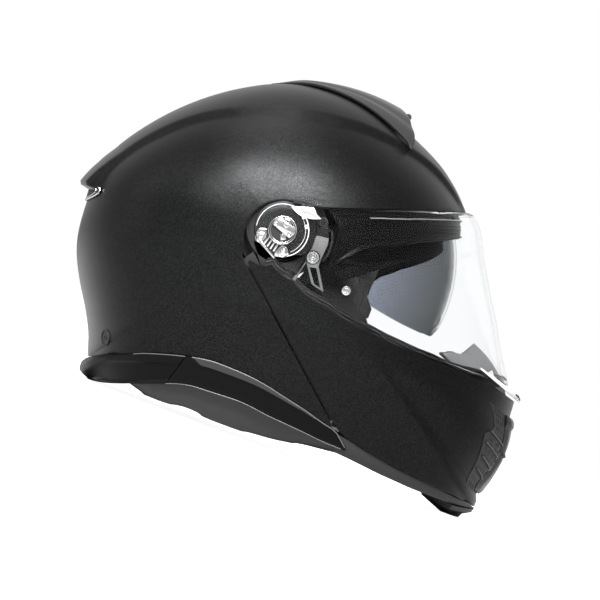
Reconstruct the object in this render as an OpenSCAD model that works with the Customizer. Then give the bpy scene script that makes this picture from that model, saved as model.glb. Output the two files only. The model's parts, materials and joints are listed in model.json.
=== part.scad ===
/* [Shell] */
// Radius from the visor pivot to the crown
shell_r = 108; // [100:1:116]
// Half width of the shell beside the pivot
half_w = 122; // [116:1:128]
// Wall of the painted shell
shell_wall = 4; // [3:0.5:5]
// Height of the crown band above the sides
band_rise = 4; // [2:0.5:5]
// Width over which the crown band falls to the side
band_fall = 9; // [6:1:12]
// Height of the crease along the widest line
crease_rise = 2.5; // [0:0.5:4]
// Reach of the crease to each side of its line
crease_reach = 34; // [20:1:45]
// Clearance between neighbouring fixed pieces
seat_gap = 0.4; // [0.3:0.1:0.6]
// Clearance round moving pieces
run_gap = 1; // [0.8:0.1:1.5]

/* [Chin bar] */
// How far the chin bar stands out beside the shell
chin_proud = 2.5; // [2:0.5:4]
// Wall of the chin bar
chin_wall = 3.2; // [2.5:0.1:4]
// Seam between the chin bar and the shell
seam_gap = 1.4; // [1:0.1:2]
// Foam behind the chin bar
chin_foam = 16; // [10:1:20]
// Wall of the lower trim pieces
trim_wall = 3; // [2.5:0.5:4]
// Half width of the chin spoiler foot
spoiler_half_w = 42; // [30:1:50]
// Depth of the chin spoiler foot from front to back
spoiler_depth = 16; // [12:1:20]
// Travel of the chin bar in degrees
chin_travel = 80; // [60:1:82]

/* [Visor] */
// How far the visor stands out beside the shell
visor_proud = 3.8; // [3.5:0.1:4.5]
// Thickness of the clear visor
visor_t = 2.2; // [2:0.1:2.6]
// Radius of the visor's hub ring
ring_r = 19; // [17:0.5:21]
// Radius of the silver hub cap
hub_r = 10; // [8:0.5:11]
// Radius of the hub pin
hub_pin_r = 5; // [4:0.5:6]
// Side of the square recess in the hub cap
hub_square = 7; // [5:0.5:8]
// Travel of the visor in degrees
visor_travel = 40; // [30:1:42]
// Radius of the anti-fog lens pin
lens_pin_r = 3.6; // [3:0.1:4.5]

/* [Side mechanism] */
// Radius of the pivot cover on the chin bar
cover_r = 27; // [25:0.2:28]
// Radius of the round recess in the shell
recess_r = 31; // [30:0.5:33]
// Radius of the chin bar's pivot boss
boss_r = 9; // [7:0.5:11]
// Thickness of the pivot arm
arm_t = 3; // [2.5:0.5:4]
// Thickness of the pivot cover
cover_t = 2.4; // [2:0.2:3]
// Thickness of the metal base plate
plate_t = 1.6; // [1.2:0.2:2]
// Radius of the mechanism screws
screw_r = 2.6; // [2:0.1:3]
// Radial clearance in the pivots
bore_gap = 0.05; // [0.03:0.01:0.09]

/* [Sun visor] */
// Radius of the sun visor about its pivot, as a share of the shell's radius
sun_r_share = 0.974; // [0.96:0.001:0.98]
// How far the sides of the sun visor lie inside the shell's half width
sun_inset = 42; // [40:1:46]
// Thickness of the sun visor
sun_t = 2; // [1.6:0.1:2.4]
// Travel of the sun visor in degrees
sun_travel = 40; // [30:1:42]
// Travel of the sun visor's slider
slider_travel = 16; // [10:1:20]

/* [Vents] */
// Length of the top vent cover as an angle about the pivot
vent_span = 50; // [40:1:56]
// Half width of the top vent cover
vent_half_w = 50; // [40:1:54]
// Height of the top vent cover at its mouth
vent_rise = 8; // [6:0.5:9]
// Wall of the vent covers
vent_wall = 2; // [1.6:0.1:2.4]
// Travel of the vent sliders
vent_travel = 5; // [3:0.5:6]
// Half width of the chin vent frame at its top
chin_vent_half_w = 50; // [40:1:56]
// How far the chin vent frame stands out
chin_vent_rise = 2.6; // [1.5:0.1:3]
// Half width of the rear exhaust grille
exhaust_half_w = 50; // [40:1:56]

/* [Lining] */
// Foam and wall beside the head
foam_side_t = 34; // [30:1:36]
// Thickness of the crown comfort pad
pad_t = 7; // [5:1:9]
// Half width between the cheek pads
cheek_gap_half_w = 56; // [50:1:62]
// Crown of each cheek pad towards the face
cheek_swell = 11; // [6:1:14]

/* [Strap] */
// Width of the chin strap
strap_w = 22; // [18:1:26]
// Thickness of the chin strap
strap_t = 2; // [1.6:0.1:2.4]
// Length of the buckle
buckle_l = 34; // [30:1:38]
// Travel of the buckle lever in degrees
lever_travel = 40; // [20:1:45]

/* [Hidden] */
SIDES = ["right", "left"];
$fn = 48;

// Colours
paint = [0.20, 0.20, 0.21];
black = [0.07, 0.07, 0.08];
rubber = [0.12, 0.12, 0.12];
silver = [0.75, 0.75, 0.77];
foam = [0.16, 0.16, 0.17];
cloth = [0.22, 0.22, 0.24];
clear = [0.80, 0.84, 0.88, 0.4];
smoke = [0.18, 0.21, 0.26, 0.8];

// Overrun of cuts
cut = 1;
// Angle step and offset step of the surface normals
probe = 0.2;

// The side view is drawn in polar form about the visor pivot: angle 0 looks forward and 90 up.
// Each table gives an angle and a share of shell_r, or of the size named beside it.
shell_shares = [[26, 1.231], [34, 1.176], [42, 1.126], [54, 1.061], [66, 1.020], [78, 0.993], [90, 0.974],
    [102, 0.966], [114, 0.965], [126, 0.973], [138, 1.001], [150, 1.051], [162, 1.126], [174, 1.231],
    [180, 1.287], [186, 1.325], [192, 1.342], [204, 1.395], [216, 1.415], [222, 1.433], [228, 1.481],
    [233, 1.560], [240, 1.650], [250, 1.759], [270, 1.898], [290, 2.083], [306, 2.204]];
// Share of band_rise along the crown band
rise_shares = [[26, 0.4], [34, 0.8], [42, 1], [162, 1], [174, 0.9], [180, 1.3], [186.4, 2.3], [187.4, 1.9],
    [188.4, 0], [306, 0]];
// Half width of the crown band as a share of half_w
band_shares = [[26, 0.13], [34, 0.20], [41, 0.27], [53, 0.40], [64, 0.50], [82, 0.60], [102, 0.64],
    [131, 0.60], [155, 0.51], [178, 0.42], [186, 0.38], [306, 0.38]];
// Share of chin_proud that the shell gains below its widest line
belly_shares = [[26, 0], [110, 0], [150, 0.4], [200, 0.8], [306, 0.8]];
// Power of the oval sections, which is no length
shell_power = [[26, 2.05], [100, 2.1], [150, 2.3], [306, 2.35]];
// Edge of the shell over the rear and side trims
hem_shares = [[233.2, 1.575], [233.7, 1.530], [235.8, 1.431], [242.7, 1.211], [253.5, 1.043], [265.1, 0.973],
    [281.7, 1.006], [296.2, 1.169], [305.5, 1.370]];
chin_shares = [[-119, 1.657], [-110, 1.759], [-90, 1.898], [-70, 2.083], [-54, 2.204], [-44, 2.250],
    [-38, 2.264], [-34.2, 2.258], [-33, 2.200], [-29.7, 2.160], [-26, 2.115], [-22.5, 2.056], [-19.2, 1.987],
    [-15.7, 1.938]];
chin_power = [[-119, 2.35], [-60, 2.35], [-36, 2.1], [-15.7, 2.05]];
chin_top_shares = [[-119, 0.293], [-98, 0.270], [-87, 0.235], [-58, 0.338], [-37.5, 0.613], [-31.4, 0.790],
    [-26.7, 0.967], [-21.3, 1.244], [-18, 1.506], [-15.7, 1.770]];
chin_low_shares = [[-53.4, 1.399], [-49.5, 1.531], [-44.7, 1.715], [-40.3, 1.904], [-35.9, 2.139],
    [-34.6, 2.262]];
visor_shares = [[-80, 1.990], [-40, 2.050], [-20, 1.950], [-13.8, 1.843], [-10.6, 1.747], [-7.1, 1.656],
    [2.1, 1.490], [5.9, 1.440], [13.2, 1.370], [21.8, 1.331], [25.2, 1.296], [34, 1.230], [45, 1.200],
    [70, 1.185]];
visor_low_shares = [[-83.4, 0.195], [-56, 0.319], [-35, 0.574], [-30, 0.778], [-23.6, 1.047], [-19.2, 1.310],
    [-17, 1.484], [-14.2, 1.753], [-13.8, 1.830]];
trim_shares = [[233, 1.608], [234.6, 1.658], [238, 1.651], [244, 1.730], [250, 1.800], [270, 1.930],
    [290, 2.090], [306, 2.204]];
rim_shares = [[237.6, 1.648], [239.8, 1.595], [248, 1.378], [255.6, 1.238], [262.3, 1.182], [276.2, 1.166],
    [286.5, 1.233], [295.6, 1.330], [303.2, 1.455], [306.6, 1.519]];

// The seam between the shell and the chin bar is one straight line past the pivot
seam_angle = 228.9;
seam_share = 0.306;
// The brow line above the visor is another
brow_angle = 19.35;
brow_share = 0.151;
// The chin bar turns about a point beside the visor pivot
hinge_shares = [-0.013, 0.015];
// The sun visor turns about a point in front of them
sun_pivot_shares = [0.251, -0.097];

// Lowest point of the helmet below the pivot, and the middle of its footprint ahead of the pivot
foot_share = 1.3935;
middle_share = 0.2628;
pivot_z = shell_r * foot_share;
pivot_x = -shell_r * middle_share;
hinge_x = pivot_x + shell_r * hinge_shares[0];
hinge_z = pivot_z + shell_r * hinge_shares[1];
sun_x = pivot_x + shell_r * sun_pivot_shares[0];
sun_z = pivot_z + shell_r * sun_pivot_shares[1];
chin_w = half_w + chin_proud;
sun_r = shell_r * sun_r_share;
sun_half_w = half_w - sun_inset;
foam_in_half_w = half_w - foam_side_t;
// The sides of the visor stand further off, to pass over the shell as it lifts
visor_side_room = 1;
visor_w = half_w + visor_proud + visor_side_room;

// Tables are read straight or through a smooth curve
function seg(tab, a, i = 0) = i >= len(tab) - 2 || a < tab[i + 1][0] ? i : seg(tab, a, i + 1);
function look(tab, a) =
    let(x = max(tab[0][0], min(tab[len(tab) - 1][0], a)), i = seg(tab, x))
    tab[i][1] + (tab[i + 1][1] - tab[i][1]) * (x - tab[i][0]) / (tab[i + 1][0] - tab[i][0]);
function slope(tab, i) =
    let(l = max(i - 1, 0), h = min(i + 1, len(tab) - 1))
    (tab[h][1] - tab[l][1]) / (tab[h][0] - tab[l][0]);
function curve(tab, a) =
    let(x = max(tab[0][0], min(tab[len(tab) - 1][0], a)), i = seg(tab, x), d = tab[i + 1][0] - tab[i][0],
        u = (x - tab[i][0]) / d, m = slope(tab, i) * d, k = slope(tab, i + 1) * d)
    tab[i][1] * (2 * u ^ 3 - 3 * u ^ 2 + 1) + m * (u ^ 3 - 2 * u ^ 2 + u)
        + tab[i + 1][1] * (3 * u ^ 2 - 2 * u ^ 3) + k * (u ^ 3 - u ^ 2);
function ease(u) = let(v = max(0, min(1, u))) v * v * (3 - 2 * v);
function mix(a, b, u) = a + (b - a) * u;
function unit(v) = v / norm(v);

// A point of an oval section: t is 0 on the middle line of the helmet and 90 at the pivot axis
function oval(r, w, n, t) = [r * abs(cos(t)) ^ (2 / n), sign(t) * w * abs(sin(t)) ^ (2 / n)];
function place(rho, y, a) = [pivot_x + rho * cos(a), y, pivot_z + rho * sin(a)];
// The t at which a section has radius rho, and half width y
function t_of(rho, r, n) = acos(max(0, min(1, (rho / r) ^ (n / 2))));
function t_at(y, w, n) = asin(min(1, (y / w) ^ (n / 2)));
// The half width of a section where its radius is rho
function wide(rho, r, w, n) = w * max(0, 1 - (rho / r) ^ n) ^ (1 / n);

shell_base = function(a, t)
    let(o = oval(shell_r * curve(shell_shares, a), half_w + chin_proud * look(belly_shares, a),
        look(shell_power, a), t)) place(o[0], o[1], a);
function crease(p) =
    let(x = p[0] - pivot_x, line = pivot_z - shell_r * 0.53 - abs(x) * 0.07)
    crease_rise * max(0, 1 - abs(p[2] - line) / crease_reach) ^ 2 * (p[1] / half_w) ^ 2;
shell_face = function(a, t)
    let(r = shell_r * curve(shell_shares, a), o = oval(r, half_w + chin_proud * look(belly_shares, a),
        look(shell_power, a), t),
        rise = band_rise * look(rise_shares, a)
            * ease((half_w * look(band_shares, a) - abs(o[1])) / band_fall + 0.5),
        p = place(o[0] * (1 + rise / r), o[1], a))
    [p[0], p[1] + sign(t) * crease(p), p[2]];
chin_base = function(a, t)
    let(o = oval(shell_r * curve(chin_shares, a), chin_w, look(chin_power, a), t)) place(o[0], o[1], a);
chin_face = function(a, t) let(p = chin_base(a, t)) [p[0], p[1] + sign(t) * crease(p), p[2]];
visor_face = function(a, t)
    let(o = oval(shell_r * curve(visor_shares, a), visor_w, 2.05, t)) place(o[0], o[1], a);
trim_face = function(a, t)
    let(o = oval(shell_r * curve(trim_shares, a), chin_w, look(shell_power, a), t)) place(o[0], o[1], a);

// Outward normal of a surface function
function out(f, a, t) =
    unit(cross(f(a, t + probe) - f(a, t - probe), f(a + probe, t) - f(a - probe, t)));
function grid(f, rows, d = 0, base = undef) =
    let(g = is_undef(base) ? f : base)
    [for (r = rows) [for (t = r[1]) d == 0 ? f(r[0], t) : f(r[0], t) - d * out(g, r[0], t)]];

// Columns of one row, from side to side, with a few cells over the middle line
mid_cells = 5;
function halves(list) = concat([for (i = [len(list) - 1:-1:0]) -list[i]],
    [for (i = [1:mid_cells - 1]) list[0] * (2 * i / mid_cells - 1)], list);
// Whether cell j lies over the middle line, with m cells on each side of it
function over_middle(j, m) = j >= m && j < m + mid_cells;
function spread(a, b, m) = halves([for (i = [0:m]) mix(a, b, i / m)]);
// The same with two columns on the fall of the crown band
function banded(a, b, t0, t1, m, k) =
    halves([for (i = [0:m]) i <= k ? mix(a, t0, i / k) : mix(t1, b, (i - k - 1) / (m - k - 1))]);

// Closed skin between two grids of points; keep says which cells stay
module skin(top, low, keep = undef) {
    rows = len(top);
    cols = len(top[0]);
    half = rows * cols;
    function on(i, j) = i >= 0 && j >= 0 && i < rows - 1 && j < cols - 1 && (is_undef(keep) || keep(i, j));
    function id(i, j) = i * cols + j;
    function wall(p, q) = [[q, p, half + p], [q, half + p, half + q]];
    faces = [for (i = [0:rows - 2], j = [0:cols - 2]) if (on(i, j))
        let(a = id(i, j), b = id(i + 1, j), c = id(i + 1, j + 1), d = id(i, j + 1))
        each concat([[a, b, c], [a, c, d], [half + a, half + c, half + b], [half + a, half + d, half + c]],
            on(i, j - 1) ? [] : wall(a, b), on(i + 1, j) ? [] : wall(b, c),
            on(i, j + 1) ? [] : wall(c, d), on(i - 1, j) ? [] : wall(d, a))];
    polyhedron([each for (r = top) r, each for (r = low) r], faces, convexity = 8);
}
// A piece drawn on the left is mirrored to the right
module side(name) {
    if (name == "left") children();
    else mirror([0, 1, 0]) children();
}
// Rod along Y, from y0 to y1
module rod(x, z, y0, y1, r) {
    translate([x, y0, z]) rotate([-90, 0, 0]) cylinder(r = r, h = y1 - y0);
}

// Radius of the shell's lower edge: the brow line, the recess and the seam, one after the other
function shell_inner(a) =
    let(brow = a < 97 ? shell_r * brow_share * 1.035 / sin(a - brow_angle) : 0,
        seam = a > seam_angle - 60 ? (shell_r * seam_share) / cos(a - seam_angle) : 0)
    max(recess_r, brow, a < 200 ? 0 : seam);

// Shell
shell_cols = 8;
shell_close = 233.2;
shell_angles = concat([26.6, 27.2, 28, 29.5, 31.5, 35, 40, 46], [for (a = [52:9:169]) a],
    [174, 178.5, 182, 184.6, 186.4, 187.4, 188.4, 191, 195], [for (a = [201:7:229]) a], [shell_close],
    [233.7, 234.6, 236, 238.5, 242, 247, 253, 260, 268, 276, 284, 291, 297, 301.5, 304.5]);
function shell_row(a) =
    let(r = shell_r * curve(shell_shares, a), n = look(shell_power, a), b = t_of(shell_inner(a), r, n),
        y = half_w * look(band_shares, a),
        t0 = t_at(max(band_fall, y - band_fall / 2), half_w, n), t1 = t_at(y + band_fall / 2, half_w, n),
        first = a < 195 ? 6 : mix(6, 12.5, (a - 195) / (shell_close - 195)), even = ease((a - 190) / 40),
        k = 3, u = k / shell_cols, v = (k + 1) / shell_cols)
    a <= shell_close
        ? [a, banded(min(first, b / 4), b, mix(min(t0, b * 0.4), mix(first, b, u), even),
            mix(min(t1, b * 0.6), mix(first, b, v), even), shell_cols, k)]
        : [a, spread(t_of(shell_r * look(hem_shares, a), r, n), b, shell_cols)];
module outer_shell() {
    rows = [for (a = shell_angles) shell_row(a)];
    color(paint) skin(grid(shell_face, rows), grid(shell_face, rows, shell_wall, shell_base),
        function(i, j) !over_middle(j, shell_cols) || shell_angles[i + 1] <= shell_close);
}

// Foam and comfort lining
foam_in_shares = [[26, 0.850], [45, 0.765], [65, 0.705], [90, 0.672], [115, 0.680], [140, 0.740],
    [165, 0.835], [190, 0.940], [210, 0.985], [228, 1.010], [262, 1.300]];
// Room for the raised sun visor in front of the foam, as a share of shell_r
pocket_shares = [[26, 0.110], [35, 0.070], [45, 0.060], [55, 0.050], [68, 0.050], [74, 0], [262, 0]];
foam_wide_shares = [[26, 0.72], [70, 0.72], [78, 1], [262, 1]];
foam_in_wide_shares = [[26, 0.865], [70, 0.865], [80, 1], [262, 1]];
foam_in_power = 2.2;
foam_cols = 5;
foam_inset = 10.5;
foam_close = 228;
foam_angles = concat([for (a = [27:7:69]) a], [73, 79], [for (a = [87:10:217]) a], [foam_close, 236, 243, 250]);
foam_out_at = function(a, t)
    let(depth = shell_wall + 3 * seat_gap,
        r = shell_r * (curve(shell_shares, a) - look(pocket_shares, a)) - depth,
        w = (half_w + chin_proud * look(belly_shares, a)) * look(foam_wide_shares, a) - depth,
        o = oval(r, w, look(shell_power, a), t))
    place(o[0], o[1], a);
foam_in_at = function(a, t)
    let(o = oval(shell_r * curve(foam_in_shares, a), foam_in_half_w * look(foam_in_wide_shares, a),
            foam_in_power, t))
    place(o[0], o[1], a);
function foam_row(a) =
    let(r = shell_r * curve(shell_shares, a), n = look(shell_power, a), b = t_of(recess_r + foam_inset, r, n))
    [a, spread(a <= foam_close ? 10 : t_of(shell_r * look(hem_shares, a) * 0.98, r, n) + (a - foam_close) * 0.1,
        b, foam_cols)];
module crown_foam() {
    rows = [for (a = foam_angles) foam_row(a)];
    color(foam) skin(grid(foam_out_at, rows), grid(foam_in_at, rows),
        function(i, j) !over_middle(j, foam_cols) || foam_angles[i + 1] <= foam_close);
}
// Foam at the brow and the temples, behind the sun visor
brow_edge_shares = [[-24, 0.654], [-9.5, 0.687], [-4.4, 0.722], [2.6, 0.83], [9.8, 1.01], [13.5, 1.09]];
brow_out_shares = [[-14, 1.15], [0, 1.12], [13.5, 1.09], [26.7, 1.073]];
brow_close = 13.5;
brow_half_w = sun_half_w - 2 * run_gap;
brow_power = 2.4;
brow_foam_t = 8;
brow_back_share = 0.30;
brow_cols = 5;
brow_face = function(a, t)
    let(o = oval(shell_r * look(brow_out_shares, a), brow_half_w, brow_power, t)) place(o[0], o[1], a);
module brow_foam() {
    angles = [-14, -9.5, -4.4, -1, 2.6, 6, 9.8, 12, brow_close, 17, 22, 26.7];
    rows = [for (a = angles)
        let(r = shell_r * look(brow_out_shares, a))
        [a, spread(max(9, t_of(shell_r * look(brow_edge_shares, a), r, brow_power)),
            t_of(shell_r * brow_back_share, r, brow_power), brow_cols)]];
    color(foam) skin(grid(brow_face, rows), grid(brow_face, rows, brow_foam_t),
        function(i, j) !over_middle(j, brow_cols) || angles[i] >= brow_close);
}
// Clearance of the soft pads over the foam's flats
pad_gap = 3.1;
// A cushion swells from its edge to its middle
function swell(u, v) = 0.3 + 0.7 * (1 - u ^ 4) * (1 - v ^ 4);
module crown_pad() {
    first = 34;
    last = 205;
    edge = 62;
    deep = function(a, t)
        foam_in_at(a, t) - (pad_gap + pad_t * swell((2 * a - first - last) / (last - first), t / edge))
            * out(foam_in_at, a, t);
    rows = [for (i = [0:12]) [mix(first, last, i / 12), spread(edge / 4, edge, 4)]];
    color(cloth) skin(grid(foam_in_at, rows, pad_gap), grid(deep, rows));
}
module neck_roll() {
    first = 214;
    last = 247;
    edge = 52;
    roll_gap = pad_gap * 1.4;
    roll_t = pad_t * 1.6;
    deep = function(a, t)
        foam_in_at(a, t) - (roll_gap + roll_t * swell((2 * a - first - last) / (last - first), t / edge))
            * out(foam_in_at, a, t);
    rows = [for (i = [0:6]) [mix(first, last, i / 6), spread(edge / 4, edge, 5)]];
    color(cloth) skin(grid(foam_in_at, rows, roll_gap), grid(deep, rows));
}

// Points of the side view are shares of shell_r from the visor pivot, forward and up
function at(p) = [pivot_x + shell_r * p[0], pivot_z + shell_r * p[1]];
// Outline through points of the side view, drawn as rounded corners of one radius
function round_corner(p, q, s, r, m = 4) =
    let(u = unit(p - q), v = unit(s - q), half = acos(max(-1, min(1, u * v))) / 2, d = r / tan(half),
        c = q + unit(u + v) * (r / sin(half)), from = q + u * d, to = q + v * d,
        a0 = atan2(from[1] - c[1], from[0] - c[0]), a1 = atan2(to[1] - c[1], to[0] - c[0]),
        turn = a1 - a0 > 180 ? a1 - a0 - 360 : a1 - a0 < -180 ? a1 - a0 + 360 : a1 - a0)
    [for (i = [0:m]) c + r * [cos(a0 + turn * i / m), sin(a0 + turn * i / m)]];
function rounded(pts, r) =
    let(n = len(pts)) [for (i = [0:n - 1]) each round_corner(pts[(i + n - 1) % n], pts[i], pts[(i + 1) % n], r)];
// Plate in the side view, from y0 to y1
module plate(pts, y0, y1) {
    translate([0, y1, 0]) rotate([90, 0, 0]) linear_extrude(y1 - y0) polygon(pts);
}

// Cheek lining
cheek_shares = [[-0.03, -0.30], [0.48, -0.20], [0.74, -0.36], [0.90, -0.92], [0.80, -1.16], [-0.10, -1.16],
    [-0.30, -0.90]];
cheek_foam_inset = 27;
cheek_foam_t = 23;
cheek_foam_out = half_w - cheek_foam_inset;
cheek_foam_in = cheek_foam_out - cheek_foam_t;
module cheek_foam(name) {
    corner = shell_r * 0.09;
    side(name) color(foam)
        plate(rounded([for (p = cheek_shares) at(p)], corner), cheek_foam_in, cheek_foam_out);
}
// The pad is a crowned cushion on the foam; its lower end bulges out under the rim
cheek_mid_share = [0.28, -0.78];
cheek_reach_shares = [[0, 0.58], [40, 0.60], [75, 0.52], [110, 0.56], [150, 0.60], [180, 0.56], [215, 0.62],
    [250, 0.555], [270, 0.545], [290, 0.56], [325, 0.66], [360, 0.58]];
module cheek_pad(name) {
    mid = at(cheek_mid_share);
    rings = [0.12, 0.45, 0.75, 0.92, 1];
    base = cheek_foam_in - seat_gap;
    function spot(a, k, y) =
        let(d = shell_r * look(cheek_reach_shares, a) * k) [mid[0] + d * cos(a), y, mid[1] + d * sin(a)];
    depth = base - cheek_gap_half_w - cheek_swell;
    top = [for (a = [0:15:360]) [for (k = rings) spot(a, k, base - depth - cheek_swell * (1 - k ^ 3))]];
    low = [for (a = [0:15:360]) [for (k = rings) spot(a, k * 0.94, base)]];
    side(name) color(cloth) ring_skin(low, top);
}
// Closed cushion of rings round a middle point, first ring capped by a fan
module ring_skin(top, low) {
    m = len(top) - 1;
    c = len(top[0]);
    half = m * c;
    function id(i, j) = (i % m) * c + j;
    fan = [for (i = [m - 1:-1:0]) id(i, 0)];
    faces = concat(
        [for (i = [0:m - 1], j = [0:c - 2]) let(a = id(i, j), b = id(i + 1, j), d = id(i + 1, j + 1), e = id(i, j + 1))
            each [[a, b, d], [a, d, e], [half + a, half + d, half + b], [half + a, half + e, half + d]]],
        [for (i = [0:m - 1]) let(p = id(i + 1, c - 1), q = id(i, c - 1))
            each [[q, p, half + p], [q, half + p, half + q]]],
        [fan, [for (i = [0:m - 1]) half + id(i, 0)]]);
    polyhedron([each for (i = [0:m - 1]) top[i], each for (i = [0:m - 1]) low[i]], faces, convexity = 4);
}

// Trim round the lower edge
function rim_radius(a) = a < rim_shares[0][0] ? shell_r * curve(trim_shares, a) : shell_r * look(rim_shares, a);
function trim_row(a, m) =
    let(r = shell_r * curve(trim_shares, a), n = look(shell_power, a),
        hem = shell_r * look(hem_shares, a - 0.5) + hem_gap)
    [a, spread(a <= rim_shares[0][0] ? 7 : max(7, t_of(rim_radius(a), r, n)), t_of(hem, r, n), m)];
hem_gap = 1.6;
rear_trim_end = 253;
// Degrees of clearance between the rear trim and the side trims
trim_joint = 0.2;
module rear_lower_trim() {
    angles = [233.7, 234.2, 235, 236.3, 237.6, 239.5, 242, 245.5, 249, rear_trim_end];
    rows = [for (a = angles) trim_row(a, 3)];
    color(black) skin(grid(trim_face, rows), grid(trim_face, rows, trim_wall),
        function(i, j) !over_middle(j, 3) || angles[i + 1] <= 237.6);
}
module side_trim(name) {
    rows = [for (a = [rear_trim_end + trim_joint, 260, 268, 276, 284, 291, 297, 301.5, 303.5])
        let(row = trim_row(a, 2)) [a, [for (i = [2:-1:0]) -row[1][i]]]];
    side(name) color(black) skin(grid(trim_face, rows), grid(trim_face, rows, trim_wall));
}

// Seal along the brow, on the inner side of the shell's edge
seal_cols = 4;
seal_close = 30.5;
seal_w = 8;
module brow_seal() {
    depth = shell_wall + 3 * seat_gap;
    seal_t = 0.9;
    angles = [27.2, 28, 29.5, seal_close, 31.5, 35, 40, 46, 52];
    function row(a) =
        let(r = shell_r * curve(shell_shares, a), n = look(shell_power, a), low = shell_inner(a),
            high = shell_r * brow_share * 1.035 / sin(a - brow_angle) + seal_w / sin(a - brow_angle))
        [a, spread(a <= seal_close ? 6 : max(6, t_of(high, r, n)), t_of(low, r, n), seal_cols)];
    rows = [for (a = angles) row(a)];
    color(rubber) skin(grid(shell_base, rows, depth), grid(shell_base, rows, depth + seal_t),
        function(i, j) !over_middle(j, seal_cols) || angles[i + 1] <= seal_close);
}

// Exhaust grille under the spoiler: slats between two rails
module exhaust_grille() {
    first = 189;
    last = 194;
    slats = 9;
    edge = t_at(exhaust_half_w, half_w, 2.3);
    bar = 0.35;
    face = function(a, t)
        let(o = oval(shell_r * curve(shell_shares, a), half_w + chin_proud * look(belly_shares, a), 2.3, t))
        place(o[0], o[1], a);
    us = [for (i = [0:slats * 2]) mix(-edge, edge, i / (slats * 2))];
    rows = [for (a = [first, first + 1.1, last - 1.1, last]) [a, us]];
    rise = 2.2;
    color(black) skin(grid(face, rows, -rise), grid(face, rows, -seat_gap),
        function(i, j) i != 1 || j % 2 == 0);
}

port_angle = 231.6;
port_share = 1.38;
port_r = 5;
module port_plug(name) {
    r = shell_r * curve(shell_shares, port_angle);
    y = wide(shell_r * port_share, r, half_w + chin_proud * 0.8, 2.3);
    p = place(shell_r * port_share, y, port_angle);
    turn = 38;
    plug_t = 1.8;
    side(name) color(rubber) translate(p) rotate([0, 0, turn]) rotate([-90, 0, 0])
        translate([0, 0, seat_gap * 6.4]) cylinder(r = port_r, h = plug_t);
}

// Top vent
vent_tail = 113;
function vent_front(v) = vent_tail - vent_span - 9 * abs(v) ^ 1.6;
function vent_point(s, v, lift) =
    let(u = s / 100, a = mix(vent_front(v), vent_tail, u), hw = mix(vent_half_w, vent_half_w * 0.08, u ^ 1.3),
        y = v * hw, r = shell_r * curve(shell_shares, a), n = look(shell_power, a),
        rise = band_rise * ease((half_w * look(band_shares, a) - abs(y)) / band_fall + 0.5),
        rho = (r + rise) * (1 - (abs(y) / half_w) ^ n) ^ (1 / n),
        up = vent_rise * (1 - u) ^ 1.6 * (1 - abs(v) ^ 3) + vent_wall + seat_gap)
    place(rho + seat_gap + lift * up, y, a);
module top_vent_cover() {
    vs = [for (i = [-6:6]) i / 6];
    ss = [0, 6, 16, 30, 45, 60, 75, 88, 100];
    outer = [for (s = ss) [for (v = vs) vent_point(s, v, 1)]];
    inner = [for (s = ss) [for (v = vs) let(p = vent_point(s, v, 1), c = [pivot_x, 0, pivot_z])
        p - vent_wall * unit([p[0] - c[0], 0, p[2] - c[2]])]];
    color(black) skin(outer, inner);
}
vent_slide_from = [vent_front(0) + 1.5, vent_front(0) + 9];
function crown_spot(a) = place(shell_r * curve(shell_shares, a) + band_rise, 0, a);
module top_vent_slider() {
    p = crown_spot(vent_slide_from[0]);
    d = p - crown_spot(vent_slide_from[1]);
    tab_l = 14;
    tab_w = 30;
    tab_h = vent_rise - vent_wall - run_gap * 3;
    tab_r = tab_h / 2;
    color(rubber) translate(p) rotate([0, atan2(-d[2], d[0]), 0]) translate([-tab_l / 2, 0, run_gap + tab_r])
        hull() for (x = [-1, 1])
            translate([x * (tab_l / 2 - tab_r), 0, 0]) rotate([90, 0, 0]) cylinder(r = tab_r, h = tab_w, center = true);
}

// Side mechanism, from the inside out
// How far the side plate lies inside the shell's half width
plate_inset = 19;
plate_y = half_w - plate_inset;
cup_reach = 1.6;
module side_plate(name) {
    boss_top = plate_y + 3 * arm_t + 3;
    cup_r = recess_r + cup_reach;
    side(name) color(black) difference() {
        union() {
            rod(pivot_x, pivot_z, plate_y, plate_y + arm_t, cup_r);
            rod(hinge_x, hinge_z, plate_y + arm_t - cut, boss_top, boss_r);
        }
        rod(hinge_x, hinge_z, boss_top - 2 * arm_t, boss_top + cut, screw_r);
    }
}
module boss_screws() {
    top = plate_y + 3 * arm_t + 3;
    head_t = 1.5;
    color(silver) for (s = [0, 1]) mirror([0, s, 0]) {
        rod(hinge_x, hinge_z, top - 2 * arm_t, top + head_t / 2, screw_r);
        rod(hinge_x, hinge_z, top, top + head_t, boss_r - run_gap);
    }
}
arm_y = plate_y + arm_t + 2;
post_shares = [[0.014, -0.282], [0.130, -0.291]];
post_r = 3.4;
// Outline of the arm and its cover: a disc about the hinge with a tongue down to the posts
tongue_shares = [[-0.70, -0.60], [0.80, -0.55]];
module arm_blank(r, y, t) {
    rod(hinge_x, hinge_z, y, y + t, r);
    a = at(post_shares[0]);
    b = at(post_shares[1]);
    plate([[hinge_x + r * tongue_shares[0][0], hinge_z + r * tongue_shares[0][1]],
        [a[0] - post_r * 1.4, a[1]], [a[0], a[1] - post_r * 1.4], [b[0], b[1] - post_r * 1.4],
        [b[0] + post_r * 1.4, b[1]],
        [hinge_x + r * tongue_shares[1][0], hinge_z + r * tongue_shares[1][1]]], y, y + t);
}
module pivot_arm(name) {
    post_top = chin_w - chin_wall - seat_gap - 0.8;
    side(name) color(silver) difference() {
        union() {
            arm_blank(cover_r - seat_gap, arm_y, arm_t);
            for (p = post_shares) rod(at(p)[0], at(p)[1], arm_y + arm_t - cut, post_top, post_r);
        }
        rod(hinge_x, hinge_z, arm_y - cut, arm_y + arm_t + cut, boss_r + bore_gap);
    }
}
cover_y = plate_y + 3 * arm_t + 5.4;
ear_shares = [[-0.117, -0.094], [0.050, -0.132]];
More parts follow.
